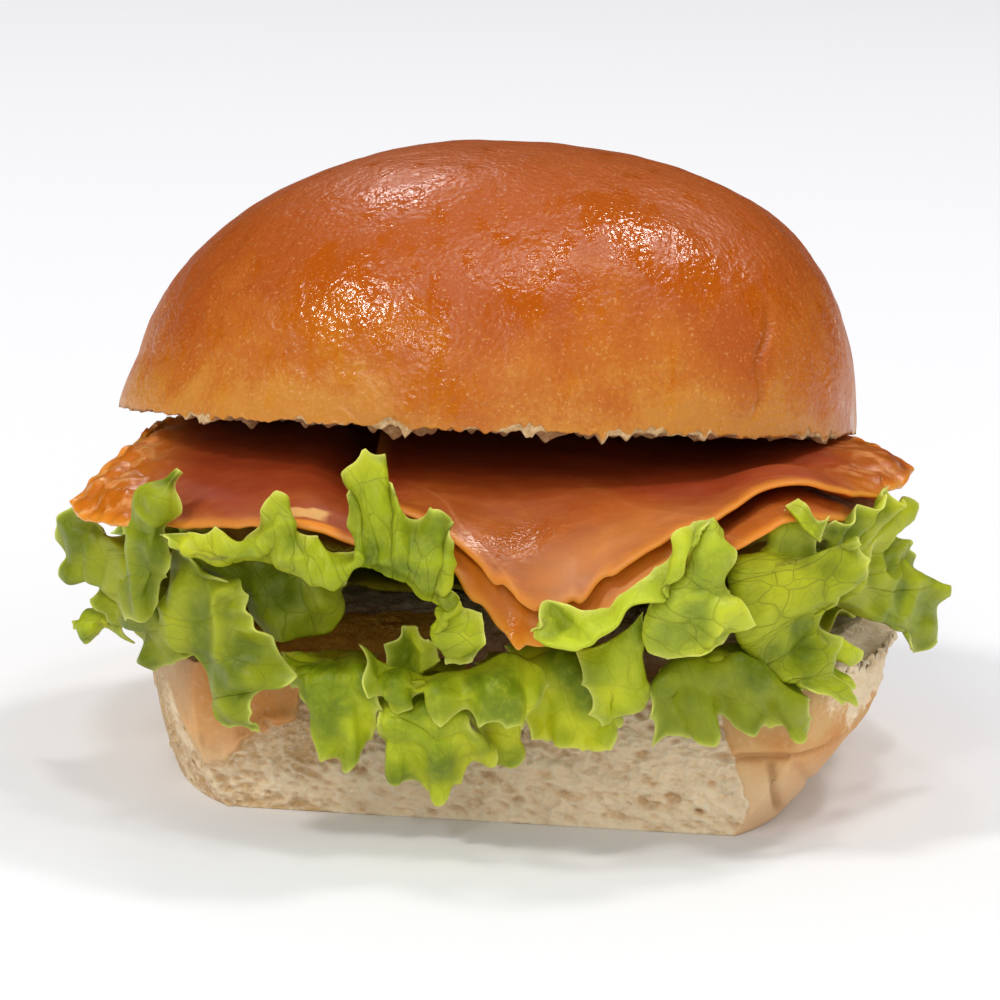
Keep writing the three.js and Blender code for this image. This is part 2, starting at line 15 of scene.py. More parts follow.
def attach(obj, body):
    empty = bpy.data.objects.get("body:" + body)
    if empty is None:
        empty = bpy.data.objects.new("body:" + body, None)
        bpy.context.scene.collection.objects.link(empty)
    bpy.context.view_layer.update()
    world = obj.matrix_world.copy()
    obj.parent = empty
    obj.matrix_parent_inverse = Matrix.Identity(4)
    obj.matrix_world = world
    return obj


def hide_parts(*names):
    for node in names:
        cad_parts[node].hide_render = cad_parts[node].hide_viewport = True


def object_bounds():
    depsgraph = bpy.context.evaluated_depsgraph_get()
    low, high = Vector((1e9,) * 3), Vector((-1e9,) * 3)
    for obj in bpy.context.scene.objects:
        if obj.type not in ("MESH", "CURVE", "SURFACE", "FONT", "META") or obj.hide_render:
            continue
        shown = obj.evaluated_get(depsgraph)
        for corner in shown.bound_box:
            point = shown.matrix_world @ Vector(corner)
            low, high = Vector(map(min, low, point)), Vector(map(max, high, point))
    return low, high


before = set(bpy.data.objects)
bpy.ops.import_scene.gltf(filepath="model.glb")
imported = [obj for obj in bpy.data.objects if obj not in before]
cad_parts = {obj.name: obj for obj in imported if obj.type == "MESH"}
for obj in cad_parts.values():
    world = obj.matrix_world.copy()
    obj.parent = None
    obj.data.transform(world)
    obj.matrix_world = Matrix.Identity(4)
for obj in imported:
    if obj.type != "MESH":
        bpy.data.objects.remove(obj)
cad_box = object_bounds()
MM = 0.001
CAD_LOW = np.array(cad_box[0]) / MM
CAD_HIGH = np.array(cad_box[1]) / MM
print("CAD box in mm:", CAD_LOW.round(1), CAD_HIGH.round(1))

# %% [markdown]
# The camera comes first, because everything after it is judged through it. It stands 0.6 m in front
# of the mouth, 12 degrees above the table, with a long lens and a small roll to the left, which makes
# the sandwich look as if it leaned to the right.

# %% Camera
VIEW_TARGET = Vector((0, 0, 35.6)) * MM
VIEW_DISTANCE = 600 * MM
VIEW_ELEVATION = np.radians(12)
VIEW_ROLL = np.radians(2.2)
SENSOR_WIDTH = 36
FOCAL_LENGTH_IN_WIDTHS = 4.2

scene = bpy.context.scene
camera = bpy.data.objects.new("camera", bpy.data.cameras.new("camera"))
scene.collection.objects.link(camera)
towards_camera = Vector((0, -np.cos(VIEW_ELEVATION), np.sin(VIEW_ELEVATION)))
camera_turn = (
    Matrix.Rotation(np.pi / 2 - VIEW_ELEVATION, 4, "X") @ Matrix.Rotation(VIEW_ROLL, 4, "Z")
)
camera.matrix_world = (
    Matrix.Translation(VIEW_TARGET + VIEW_DISTANCE * towards_camera) @ camera_turn
)
camera.data.sensor_width = SENSOR_WIDTH
camera.data.lens = FOCAL_LENGTH_IN_WIDTHS * SENSOR_WIDTH
camera.data.clip_start = 0.01
scene.camera = camera
print("camera at", camera.matrix_world.translation)

# %% [markdown]
# A studio is one pale floor, an even sky and a few soft boxes. Wet and glazed food looks rich when
# only small lamps show in its gloss, so the sky and the large boxes light it without being mirrored.
# Each small lamp stands where the glaze mirrors it at the wanted place: at the left, low at the left,
# at the right, on top and behind, and one more for the oily streak on the salmon.

# %% Studio
LIGHT_DISTANCE = 3.0
WHITE = (1, 1, 1)
WARM = (1.0, 0.97, 0.92)
SLIGHTLY_WARM = (1.0, 0.98, 0.95)
SKY_COLOUR = (0.95, 0.97, 1.0, 1)
SKY_STRENGTH = 0.45
# Each light: where it stands as seen from the sandwich, its side in metres, watts and colour.
MIRRORED_LAMPS = {
    "lamp_left": ((-0.56, -0.33, 0.76), 0.38, 27, WARM),
    "lamp_low": ((-0.25, -0.74, 0.63), 0.40, 9, WHITE),
    "lamp_right": ((0.42, 0.30, 0.86), 0.42, 19, SLIGHTLY_WARM),
    "lamp_back": ((-0.21, 0.72, 0.66), 0.35, 6, WHITE),
    "lamp_top": ((0.05, -0.15, 0.99), 0.32, 12, WHITE),
    "lamp_streak": ((0.33, -0.15, 0.93), 0.24, 6, WHITE),
}
UNSEEN_BOXES = {
    "box_left": ((-0.80, -0.30, 0.50), 1.8, 5, WARM),
    "box_right": ((0.85, -0.30, 0.40), 1.8, 12, SLIGHTLY_WARM),
    "box_front": ((0.05, -0.97, 0.20), 2.4, 31, WHITE),
}


def soft_box(name, towards, size, watts, colour, mirrored):
    """A square area light three metres from the sandwich along a direction, facing it."""
    light = bpy.data.lights.new(name, "AREA")
    light.size = size
    light.energy = watts
    light.color = colour
    box = bpy.data.objects.new(name, light)
    direction = Vector(towards).normalized()
    box.location = VIEW_TARGET + LIGHT_DISTANCE * direction
    box.rotation_euler = direction.to_track_quat("Z", "Y").to_euler()
    box.visible_glossy = mirrored
    scene.collection.objects.link(box)


for lights, mirrored in ((MIRRORED_LAMPS, True), (UNSEEN_BOXES, False)):
    for name, light in lights.items():
        soft_box(name, *light, mirrored)

world = bpy.data.worlds.new("studio")
scene.world = world
world.use_nodes = True
sky = world.node_tree.nodes["Background"]
sky.inputs["Color"].default_value = SKY_COLOUR
sky.inputs["Strength"].default_value = SKY_STRENGTH
world.cycles_visibility.glossy = False
scene.view_settings.view_transform = "Standard"

# %% [markdown]
# Natural surfaces need noise. Here it is written with whole arrays: a hash turns whole-number lattice
# points into random numbers, smooth noise blends the eight corners round each point, and cell noise
# looks for the nearest scattered points. All of it is fixed by a seed, so every run is the same.

# %% Noise on arrays
def lattice(ix, iy, iz, seed):
    """A random number from 0 to 1 for each lattice point: its whole numbers multiplied by primes,
    mixed and folded to 32 bits."""
    mixed = ix * 73856093 ^ iy * 19349663 ^ iz * 83492791 ^ seed * 265443576
    mixed = mixed & 0xFFFFFFFF
    mixed = (mixed ^ mixed >> 15) * 0x2C1B3C6D & 0xFFFFFFFF
    mixed = (mixed ^ mixed >> 12) * 0x297A2D39 & 0xFFFFFFFF
    return (mixed ^ mixed >> 15) / 0xFFFFFFFF


def smooth_noise(points, size, seed):
    """Value noise from -1 to 1 with blobs of a size in mm (one, or one for each axis): the random
    numbers at the eight lattice corners round a point, blended by 6t^5 - 15t^4 + 10t^3."""
    cell = np.asarray(points, float) / size
    low = np.floor(cell)
    part = cell - low
    fade = part**3 * (part * (part * 6 - 15) + 10)
    low = low.astype(np.int64)
    total = np.zeros(cell.shape[:-1])
    for corner in np.ndindex(2, 2, 2):
        weight = np.prod(np.where(corner, fade, 1 - fade), axis=-1)
        total += weight * lattice(*np.moveaxis(low + corner, -1, 0), seed)
    return 2 * total - 1


def fractal(points, size, octaves, seed):
    """Smooth noise at a size, plus half of it at half the size, and so on."""
    return sum(
        smooth_noise(points, np.asarray(size) / 2**k, seed + k) / 2**k for k in range(octaves)
    )


def cells(points, size, seed):
    """Cell noise: the distance to the nearest scattered point, in cell sizes, and a random number
    that belongs to it, looked for in the 27 lattice cells round each point."""
    cell = np.asarray(points, float) / size
    home = np.floor(cell).astype(np.int64)
    nearest = np.full(cell.shape[:-1], 9.0)
    name = np.zeros(cell.shape[:-1])
    for step in np.ndindex(3, 3, 3):
        corner = np.moveaxis(home + step - 1, -1, 0)
        spot = np.stack([lattice(*corner, seed + k) for k in range(3)], -1)
        gap = np.linalg.norm(np.moveaxis(corner, 0, -1) + spot - cell, axis=-1)
        closer = gap < nearest
        name = np.where(closer, spot[..., 0], name)
        nearest = np.where(closer, gap, nearest)
    return nearest, name


def span(value, low, high):
    """0 below low, 1 above high, and an S-curve between them."""
    t = np.clip((value - low) / (high - low), 0, 1)
    return t * t * (3 - 2 * t)


def mix(a, b, t):
    """The value a share t of the way from a to b."""
    return a + (b - a) * t


def bell(*terms):
    """exp(-d squared), 1 in the middle: each term (value, middle, width) adds the square of
    (value - middle) / width to d squared."""
    return np.exp(-sum(((value - middle) / width) ** 2 for value, middle, width in terms))


test = smooth_noise(np.random.default_rng(1).uniform(0, 50, (1000, 3)), 5, 7)
print("noise runs from", test.min().round(2), "to", test.max().round(2))

# %% [markdown]
# All pieces are grids of points. A grid becomes a mesh with foreach_set, which takes whole arrays. A
# leaf or a slice is a sheet: its middle surface goes half a thickness out along its normal on each
# side, and the four borders are joined. A half of the roll is a stack of rings between two poles.

# %% From arrays to meshes
def grid_faces(rows, columns, offset=0, closed=False):
    """Quads of a grid of rows times columns points, numbered row by row; closed joins the last
    column to the first."""
    row = np.arange(rows - 1)[:, None]
    column = np.arange(columns if closed else columns - 1)[None, :]
    beside = (column + 1) % columns
    corners = [row * columns + column, row * columns + beside]
    corners += [(row + 1) * columns + beside, (row + 1) * columns + column]
    return np.stack([np.broadcast_to(c, corners[1].shape) for c in corners], -1).reshape(-1, 4) + offset


def make_mesh(name, points, face_sets, marks=None):
    """A smooth-shaded mesh object from points in mm, arrays of faces, and named numbers for each
    point, which the finish can read."""
    mesh = bpy.data.meshes.new(name)
    points = np.asarray(points, float)
    mesh.vertices.add(len(points))
    mesh.vertices.foreach_set("co", (points * MM).astype(np.float32).ravel())
    corners = np.concatenate([faces.ravel() for faces in face_sets])
    sizes = np.concatenate([np.full(len(faces), faces.shape[1]) for faces in face_sets])
    mesh.loops.add(len(corners))
    mesh.loops.foreach_set("vertex_index", corners.astype(np.int32))
    mesh.polygons.add(len(sizes))
    mesh.polygons.foreach_set("loop_start", (np.cumsum(sizes) - sizes).astype(np.int32))
    mesh.update(calc_edges=True)
    mesh.validate()
    mesh.shade_smooth()
    for mark, values in (marks or {}).items():
        layer = mesh.attributes.new(mark, "FLOAT", "POINT")
        layer.data.foreach_set("value", np.asarray(values, np.float32).ravel())
    made = bpy.data.objects.new(name, mesh)
    scene.collection.objects.link(made)
    return made


BOX_MARGIN = 0.02


def keep_inside(points):
    """Points held within the box of the solids."""
    return np.clip(points, CAD_LOW + BOX_MARGIN, CAD_HIGH - BOX_MARGIN)


def surface_normals(points):
    """Unit normals of a grid of points: the cross product of its steps along columns and rows."""
    along_columns = np.gradient(points, axis=1)
    along_rows = np.gradient(points, axis=0)
    normal = np.cross(along_columns, along_rows)
    return normal / np.maximum(np.linalg.norm(normal, axis=-1, keepdims=True), 1e-9)


def make_sheet(name, middle, half, marks):
    """A closed thin solid: the middle surface plus and minus its normal times half a thickness,
    with the two faces joined along all four borders."""
    rows, columns = middle.shape[:2]
    normal = surface_normals(middle)
    front = middle + normal * half[..., None]
    back = middle - normal * half[..., None]
    count = rows * columns
    at = np.arange(count).reshape(rows, columns)
    border = np.concatenate([at[0, :-1], at[:-1, -1], at[-1, :0:-1], at[:0:-1, 0]])
    onward = np.roll(border, -1)
    rim = np.stack([onward, border, border + count, onward + count], -1)
    outer = grid_faces(rows, columns)
    inner = grid_faces(rows, columns, count)[:, ::-1]
    points = keep_inside(np.concatenate([front.reshape(-1, 3), back.reshape(-1, 3)]))
    twice = {mark: np.tile(np.ravel(value), 2) for mark, value in marks.items()}
    return make_mesh(name, points, [outer, inner, rim], twice)


def make_rings(name, rings, marks):
    """A closed solid from rings of points (rows of a grid), each end closed by a fan to a pole in
    the middle of its ring."""
    rows, columns = rings.shape[:2]
    poles = np.stack([rings[0].mean(0), rings[-1].mean(0)])
    points = keep_inside(np.concatenate([rings.reshape(-1, 3), poles]))
    around = np.arange(columns)
    beside = (around + 1) % columns
    first = np.stack([beside, around, np.full(columns, rows * columns)], -1)
    last_row = (rows - 1) * columns
    last = np.stack([last_row + around, last_row + beside, np.full(columns, rows * columns + 1)], -1)
    sides = grid_faces(rows, columns, closed=True)
    padded = {
        mark: np.concatenate([np.ravel(value), [value[0].mean(), value[-1].mean()]])
        for mark, value in marks.items()
    }
    return make_mesh(name, points, [sides, first, last], padded)


def smooth_line(points, u):
    """Points at u, from 0 to 1, on the smooth line through the given ones (Catmull-Rom): each span
    is a cubic whose end slopes are half the step between the neighbours. The points may be whole
    rows, and then the result is a surface."""
    points = np.asarray(points, float)
    ends = [2 * points[:1] - points[1:2], points, 2 * points[-1:] - points[-2:-1]]
    extended = np.concatenate(ends)
    spans = len(points) - 1
    first = np.clip(np.floor(u * spans).astype(int), 0, spans - 1)
    t = (u * spans - first).reshape(-1, *[1] * (points.ndim - 1))
    p0, p1, p2, p3 = (extended[first + k] for k in range(4))
    slope_in = (p2 - p0) / 2
    slope_out = (p3 - p1) / 2
    rise = p2 - p1
    bend = 3 * rise - 2 * slope_in - slope_out
    return p1 + slope_in * t + bend * t**2 + (slope_in + slope_out - 2 * rise) * t**3


def lengths_along(points, axis):
    """Distance travelled along an axis of a grid of points, from its start."""
    step = np.linalg.norm(np.diff(points, axis=axis), axis=-1)
    return np.concatenate([np.zeros_like(np.take(step, [0], axis)), np.cumsum(step, axis)], axis)


print("a 3 by 4 grid has", len(grid_faces(3, 4)), "quads")

# %% [markdown]
# A finish is a small shader program. To write it as ordinary Python, a wire wraps a node's output and
# turns plus, minus and times into Math nodes. Every other node comes from one method, which takes the
# node's type, its settings and what goes into its sockets. Colours are laid over each other in coats.

# %% Shader maths as Python
class Wire:
    """An output of a node that can be used in sums and products."""

    def __init__(self, finish, socket):
        self.finish = finish
        self.socket = socket

    def math(self, operation, other=0.0, flipped=False):
        pair = {0: other, 1: self} if flipped else {0: self, 1: other}
        return self.finish.node("Math", {"operation": operation}, pair)

    def __add__(self, other):
        return self.math("ADD", other)

    def __sub__(self, other):
        return self.math("SUBTRACT", other)

    def __rsub__(self, other):
        return self.math("SUBTRACT", other, flipped=True)

    def __mul__(self, other):
        return self.math("MULTIPLY", other)

    __radd__ = __add__
    __rmul__ = __mul__


class Finish:
    """A material whose nodes are made by expressions."""

    def __init__(self, name):
        self.material = bpy.data.materials.new(name)
        self.material.use_nodes = True
        self.tree = self.material.node_tree
        self.tree.nodes.clear()
        self.place = self.node("TexCoord", out="Object")

    def node(self, kind, settings=None, values=None, out=0):
        """A node of a kind, its settings made first, with values or wires in its sockets."""
        made = self.tree.nodes.new("ShaderNode" + kind)
        for setting, value in (settings or {}).items():
            setattr(made, setting, value)
        for key, value in (values or {}).items():
            if isinstance(value, Wire):
                self.tree.links.new(value.socket, made.inputs[key])
            else:
                made.inputs[key].default_value = value
        return Wire(self, made.outputs[out])

    def noise(self, size, detail=3.0, roughness=0.55, stretch=(1, 1, 1)):
        """Noise from about 0 to 1 with blobs of a size in mm, stretched along the axes."""
        place = self.node("Mapping", {}, {"Vector": self.place, "Scale": stretch})
        values = {"Vector": place, "Scale": 1 / (size * MM), "Detail": detail, "Roughness": roughness}
        return self.node("TexNoise", {}, values)

    def walls(self, place, size):
        """Distance from the walls between scattered cells of a size in mm, in cell sizes, on
        coordinates in mm that are bent by noise."""
        bend = self.node("TexNoise", {}, {"Vector": place, "Scale": 0.7 / size}, out="Color")
        bend = self.node("VectorMath", {"operation": "SCALE"}, {0: bend, "Scale": 0.9 * size})
        place = self.node("VectorMath", {"operation": "ADD"}, {0: place, 1: bend})
        settings = {"feature": "DISTANCE_TO_EDGE"}
        return self.node("TexVoronoi", settings, {"Vector": place, "Scale": 1 / size}, out="Distance")

    def mark(self, name):
        """A number that the mesh carries at each point."""
        return self.node("Attribute", {"attribute_name": name}, out="Fac")

    def span(self, wire, low, high):
        """0 below low, 1 above high, and an S-curve between them."""
        values = {"Value": wire, "From Min": low, "From Max": high}
        return self.node("MapRange", {"interpolation_type": "SMOOTHSTEP"}, values)

    def blend(self, amount, first, second):
        """A colour the given amount of the way from the first to the second."""
        return self.node("Mix", {"data_type": "RGBA"}, {0: amount, 6: first, 7: second}, out=2)

    def coats(self, tone, *coats):
        """A tone with coats of colour laid over it in turn, each (how much of it, its colour)."""
        for amount, coat in coats:
            tone = self.blend(amount, tone, coat)
        return tone

    def bump(self, height):
        """A normal from a height in mm."""
        return self.node("Bump", {}, {"Height": height, "Distance": MM})

    def surface(self, **sockets):
        """The material with one principled shader, whose sockets are given with _ for a space."""
        values = {key.replace("_", " "): value for key, value in sockets.items()}
        shader = self.node("BsdfPrincipled", {}, values)
        end = self.tree.nodes.new("ShaderNodeOutputMaterial")
        self.tree.links.new(shader.socket, end.inputs["Surface"])
        return self.material


def colour(red, green, blue):
    """A colour for a socket from its linear parts."""
    return (red, green, blue, 1.0)


def dress(piece, node, material):
    """Puts the finish on a piece that stands for a solid, and ties it to the frame."""
    piece.data.materials.append(material)
    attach(piece, "root")
    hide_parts(node)
    print(piece.name, "has", len(piece.data.polygons), "faces")


print("a mid grey goes into a socket as", colour(0.5, 0.5, 0.5))

# %% [markdown]
# The floor is one large pale sheet. It isn't part of the sandwich, so it isn't tied to the frame.

# %% Floor
FLOOR_HALF = 6000.0
floor_corners = np.array([(-1, -1, 0), (1, -1, 0), (1, 1, 0), (-1, 1, 0)]) * FLOOR_HALF
floor = make_mesh("floor", floor_corners, [np.array([[0, 1, 2, 3]])])
floor_finish = Finish("floor_paper")
floor_tone = floor_finish.noise(400, 2.0)
floor_white = floor_finish.blend(floor_tone, colour(0.83, 0.83, 0.855), colour(0.85, 0.85, 0.87))
floor.data.materials.append(floor_finish.surface(Base_Color=floor_white, Roughness=0.9))
print("floor reaches", FLOOR_HALF / 1000, "m each way")

# %% [markdown]
# The roll is baked dough under an egg glaze. Its crust is darkest on top, golden towards the cut and
# palest just above it, with a fine grain of wrinkles that breaks up every reflection. The colour
# follows a number that the mesh carries, bake, worked out from the height, and is then broken up by
# noise of several sizes. Torn crumb shows where another number, crumb, is high.

# %% Crust finish
def crust_finish():
    finish = Finish("crust_glazed")
    patches = finish.noise(15, 3.0) - 0.5
    blotches = finish.noise(5, 4.0) - 0.5
    grain = finish.noise(0.7, 5.0, 0.7) - 0.5
    baked = finish.mark("bake") + patches * 0.75 + blotches * 0.5 + grain * 0.5
    pores = finish.span(finish.noise(0.45, 2.0, 0.5), 0.60, 0.72)
    crust = finish.coats(
        colour(0.55, 0.21, 0.022),
        (finish.span(baked, 0.0, 0.26), colour(0.48, 0.125, 0.006)),
        (finish.span(baked, 0.2, 0.6), colour(0.40, 0.076, 0.003)),
        (finish.span(baked, 0.55, 1.0), colour(0.40, 0.082, 0.009)),
        (pores * 0.4, colour(0.72, 0.36, 0.12)),
    )
    crumb = finish.mark("crumb")
    crumb_tone = finish.span(finish.noise(1.1, 5.0, 0.7), 0.3, 0.7)
    crumb_colour = finish.blend(crumb_tone, colour(0.48, 0.25, 0.08), colour(0.78, 0.54, 0.28))
    wrinkles = finish.noise(0.85, 2.0, 0.45)
    dimples = finish.noise(2.6, 3.0, 0.5)
    fuzz = finish.noise(0.5, 4.0, 0.7)
    streaks = finish.noise(5, 4.0, 0.65, (1.5, 1, 0.6)) - 0.5
    dull = 1 - finish.span(finish.mark("glaze") + streaks * 2.4, 0.25, 0.85)
    return finish.surface(
        Base_Color=finish.blend(finish.span(crumb, 0.35, 0.65), crust, crumb_colour),
        Roughness=0.12 + 0.26 * dull + 0.35 * crumb,
        Specular_IOR_Level=0.5,
        Normal=finish.bump(wrinkles * 0.2 + dimples * 0.2 + crumb * fuzz * 0.6),
    )


CRUST = crust_finish()
print("crust nodes:", len(CRUST.node_tree.nodes))

# %% [markdown]
# The upper half is a dome. Seen from above its outline is a rounded square, and each ring from the
# pole to the cut shrinks and rises by powers of a sine and a cosine, which gives the steep shoulders
# of a roll that rose in a tin next to others. Columns of the grid crowd together at the front, where
# the camera looks.

# %% Outline and tilt of the upper half
UPPER_CUT_HEIGHT = 47.8
UPPER_TILT = np.radians(9)
UPPER_WIDTH = 102.6
UPPER_DEPTH = 49.5
UPPER_SQUARE = 2.15
DOME_HEIGHT = 38.9
DOME_CENTRE_X = -1.3
ROLL_COLUMNS = 620
FRONT_ANGLE = -np.pi / 2


def outline_radius(angle, half_width, reach, squareness):
    """Radius of a rounded-square outline: (|cos a / half width|^n + |sin a / reach|^n)^(-1/n)."""
    across = np.abs(np.cos(angle) / half_width) ** squareness
    deep = np.abs(np.sin(angle) / reach) ** squareness
    return (across + deep) ** (-1 / squareness)


def even_then_dense(count, spread, gain):
    """Angles once round, packed more densely at the front by a bell-shaped density."""
    fine = np.linspace(-np.pi, np.pi, 4001)
    away = np.angle(np.exp(1j * (fine - FRONT_ANGLE)))
    density = 1 + gain * bell((away, 0, spread))
    travelled = np.concatenate([[0], np.cumsum((density[1:] + density[:-1]) / 2)])
    wanted = np.linspace(0, travelled[-1], count, endpoint=False)
    return np.interp(wanted, travelled, fine)


def tilt_upper(points):
    """Points of the upper half, turned back about X and lifted onto the filling."""
    x, y, z = np.moveaxis(points, -1, 0)
    cos, sin = np.cos(UPPER_TILT), -np.sin(UPPER_TILT)
    return np.stack([x + DOME_CENTRE_X, y * cos - z * sin, y * sin + z * cos + UPPER_CUT_HEIGHT], -1)


roll_angles = even_then_dense(ROLL_COLUMNS, 1.1, 1.6)
print("columns are", np.degrees(np.diff(roll_angles).min()).round(2), "degrees apart at the front")

# %% [markdown]
# The dome's rows lie closer together near the cut, because the torn rim needs fine detail.

# %% Dome of the upper half
DOME_ROWS = 96
RIM_ROWS = 30
RIM_SHARE = 0.945


def dome_points(t, angle):
    """The dome: reach = radius * sin(t pi/2)^p and height = 38.9 * cos(t pi/2)^p, flared a little
    at the left of the cut edge, with gentle lumps."""
    radius = outline_radius(angle, UPPER_WIDTH / 2, UPPER_DEPTH, UPPER_SQUARE)
    power = 2 / (2.23 + 0.2 * np.cos(angle))
    rise = t * np.pi / 2
    height = DOME_HEIGHT * np.clip(np.cos(rise), 0, 1) ** power
    leftness = np.clip(-np.cos(angle), 0, 1)
    flare = 0.035 * leftness * np.clip(1 - height / 7, 0, 1)
    lump = 0.5 * np.sin(3 * angle + 0.7) * np.sin(np.pi * t)
    lump += 0.35 * np.sin(5 * angle + 2.1) * np.sin(2 * np.pi * t)
    reach = radius * np.sin(rise) ** power * (1 + flare) + lump
    return np.stack([reach * np.cos(angle), reach * np.sin(angle), height], -1)


dome_share = np.concatenate(
    [np.linspace(0.004, RIM_SHARE, DOME_ROWS, endpoint=False), np.linspace(RIM_SHARE, 1, RIM_ROWS)]
)
dome = dome_points(dome_share[:, None], roll_angles[None, :])
dome_normal = surface_normals(dome)
dome_normal *= np.sign((dome_normal * (dome - [0, 0, 5])).sum(-1, keepdims=True))
dome_place = tilt_upper(dome)
print("dome is", np.ptp(dome[..., 0]).round(1), "mm wide")

# %% [markdown]
# The cut was torn open more than sliced, so the crust ends in a ragged line, pale crumb shows under
# it, and tufts hang down along parts of the front. Shallow grooves run down the crust where the
# dough was folded.

# %% Relief of the crust
TUFTS = [(-44, -36), (-16, -9), (-2, 8), (12, 31), (40, 48)]
TUFT_BORDER = 3
# Each groove: depth, then (x, z) of its low and high end, then its width.
GROOVES = [
    (0.8, (33.8, 56.5), (34.8, 69), 0.5),
    (0.16, (27.0, 57), (23.0, 70), 0.7),
    (0.22, (-18.5, 54.5), (-22.0, 59.5), 0.45),
    (0.16, (-15.0, 54.5), (-15.5, 60), 0.5),
]


def groove(points, low_end, high_end, width):
    """A bell-shaped line across the front of the crust from one (x, z) to another, fading at its
    ends."""
    x, y, z = np.moveaxis(points, -1, 0)
    share = (z - low_end[1]) / (high_end[1] - low_end[1])
    middle = mix(low_end[0], high_end[0], share) + 0.5 * np.sin(9 * share)
    ends = span(share, -0.1, 0.15) * (1 - span(share, 0.8, 1.1))
    return bell((x, middle, width)) * ends * (y < 0)


rim = dome[-1]
tufts = sum(
    span(rim[:, 0], low, low + TUFT_BORDER) - span(rim[:, 0], high - TUFT_BORDER, high)
    for low, high in TUFTS
)
tufts = np.where(rim[:, 1] < 0, tufts, 0.5)
crust_end = -0.25 + 0.7 * tufts + 0.45 * fractal(rim, 3, 3, 11) + 0.25 * smooth_noise(rim, 0.8, 14)
crumb_mark = 1 - span(dome[..., 2] - crust_end[None, :], -0.15, 0.25)
swell = 0.28 * fractal(dome, 14, 2, 21) + 0.09 * fractal(dome, 3.5, 2, 23)
lines = sum(depth * groove(dome_place, *ends) for depth, *ends in GROOVES)
torn = fractal(dome * [1, 1, 0.6], 1.3, 3, 31)
relief = (swell - lines) * (1 - crumb_mark) + (-0.35 + 0.4 * torn) * crumb_mark
dome = dome + dome_normal * (relief * span(1 - dome_share, -0.01, 0.02)[:, None])[..., None]
hanging = 0.25 + 0.3 * fractal(dome[-1], 2.6, 2, 41) + 0.3 * fractal(dome[-1], 0.9, 2, 47)
hanging += tufts * np.clip(0.1 + 1.3 * fractal(dome[-1], 1.6, 3, 44), 0, 1.6)
dome[..., 2] -= span(dome_share, 0.985, 1)[:, None] * hanging[None, :]
print("crumb hangs", hanging.max().round(2), "mm below the cut at most")

# %% [markdown]
# The underside is the cut crumb, drawn in from the rim to the middle, with pits and a few lumps. The
# glaze mirrors the lamps only in patches, which are marked on the mesh.

# %% Upper half of the roll
CUT_ROWS = 30
CRUMB_LUMPS = [(-32.5, -34), (-13.0, -44.5), (-9.5, -44), (7, -45)]
GLAZE_ELSEWHERE = 0.2
# Each patch: its place, its radius and how strong its glaze is.
GLAZED_PATCHES = [
    ((-22.0, -39.8, 69.8), 11, 1.0),
    ((-12.5, -44.2, 67.8), 8, 0.8),
    ((-8.6, -46.7, 60.0), 7, 0.75),
    ((-14.4, -24.8, 83.1), 8, 0.8),
    ((4.0, -39.3, 75.8), 12, 0.6),
    ((15.2, -30.7, 80.3), 10, 1.0),
    ((24.0, -32.5, 76.2), 8, 0.9),
    ((30.0, -28.7, 73.0), 7, 0.6),
]

cut_share = mix(0.985, 0.02, np.linspace(0, 1, CUT_ROWS) ** 1.8)[:, None]
cut = dome[-1:] * [1, 1, 0] * cut_share[..., None]
cut_relief = 0.5 * fractal(cut + [0, 0, 3], 3, 4, 51) - 0.2
cut_relief -= 0.8 * span(0.34 - cells(cut, 3.1, 52)[0], 0, 0.25)
for lump_x, lump_y in CRUMB_LUMPS:
    away = np.hypot(cut[..., 0] - lump_x, cut[..., 1] - lump_y)
    cut_relief -= 1.9 * bell((away, 0, 1.2))
cut[..., 2] = mix(cut_relief, -hanging[None, :], span(cut_share, 0.93, 1.0))
upper = tilt_upper(np.concatenate([dome, cut]))

height_share = np.concatenate([dome[..., 2], np.zeros_like(cut[..., 2])]) / DOME_HEIGHT
upper_x, upper_z = upper[..., 0], upper[..., 2]
pale_left = bell((upper_x, -31, 9), (upper_z, 50, 7))
pale_right = bell((upper_x, 27, 8), (upper_z, 53, 9))
orange_middle = bell((upper_x, -2, 14), (upper_z, 52, 8))
glaze = np.full_like(height_share, GLAZE_ELSEWHERE)
for place, radius, strength in GLAZED_PATCHES:
    away = np.linalg.norm(upper - place, axis=-1)
    glaze = np.maximum(glaze, strength * bell((away, 0, radius)))
upper_marks = {
    "bake": np.clip(height_share, 0, 1) ** 0.8 + 0.17 * orange_middle - 0.17 * (pale_left + pale_right),
    "glaze": glaze,
    "crumb": np.concatenate([crumb_mark, np.ones_like(cut[..., 2])]),
}
upper_roll = make_rings("roll_upper", upper[::-1], {k: v[::-1] for k, v in upper_marks.items()})
dress(upper_roll, "bun_upper", CRUST)

# %% [markdown]
# The lower half was pulled apart at the front, so its front is a flat face of torn crumb. One grid of
# rings makes all of it: a flat base, a wall, and the cut face on top, with the front held back at the
# torn plane. At the left the torn face wanders round the side before the crust begins.

# %% Lower half of the roll
LOWER_CUT_HEIGHT = 20
LOWER_WIDTH = 104.4
LOWER_FRONT = 54
LOWER_BACK = 50
LOWER_SQUARE_FRONT = 2.9
LOWER_SQUARE_BACK = 2.5
LOWER_CENTRE_X = 4.2
TORN_Y = -41.5
TORN_SLANT = -0.075
BASE_ROWS = 16
WALL_ROWS = 96
TOP_ROWS = 56
LOWER_COLUMNS = 560

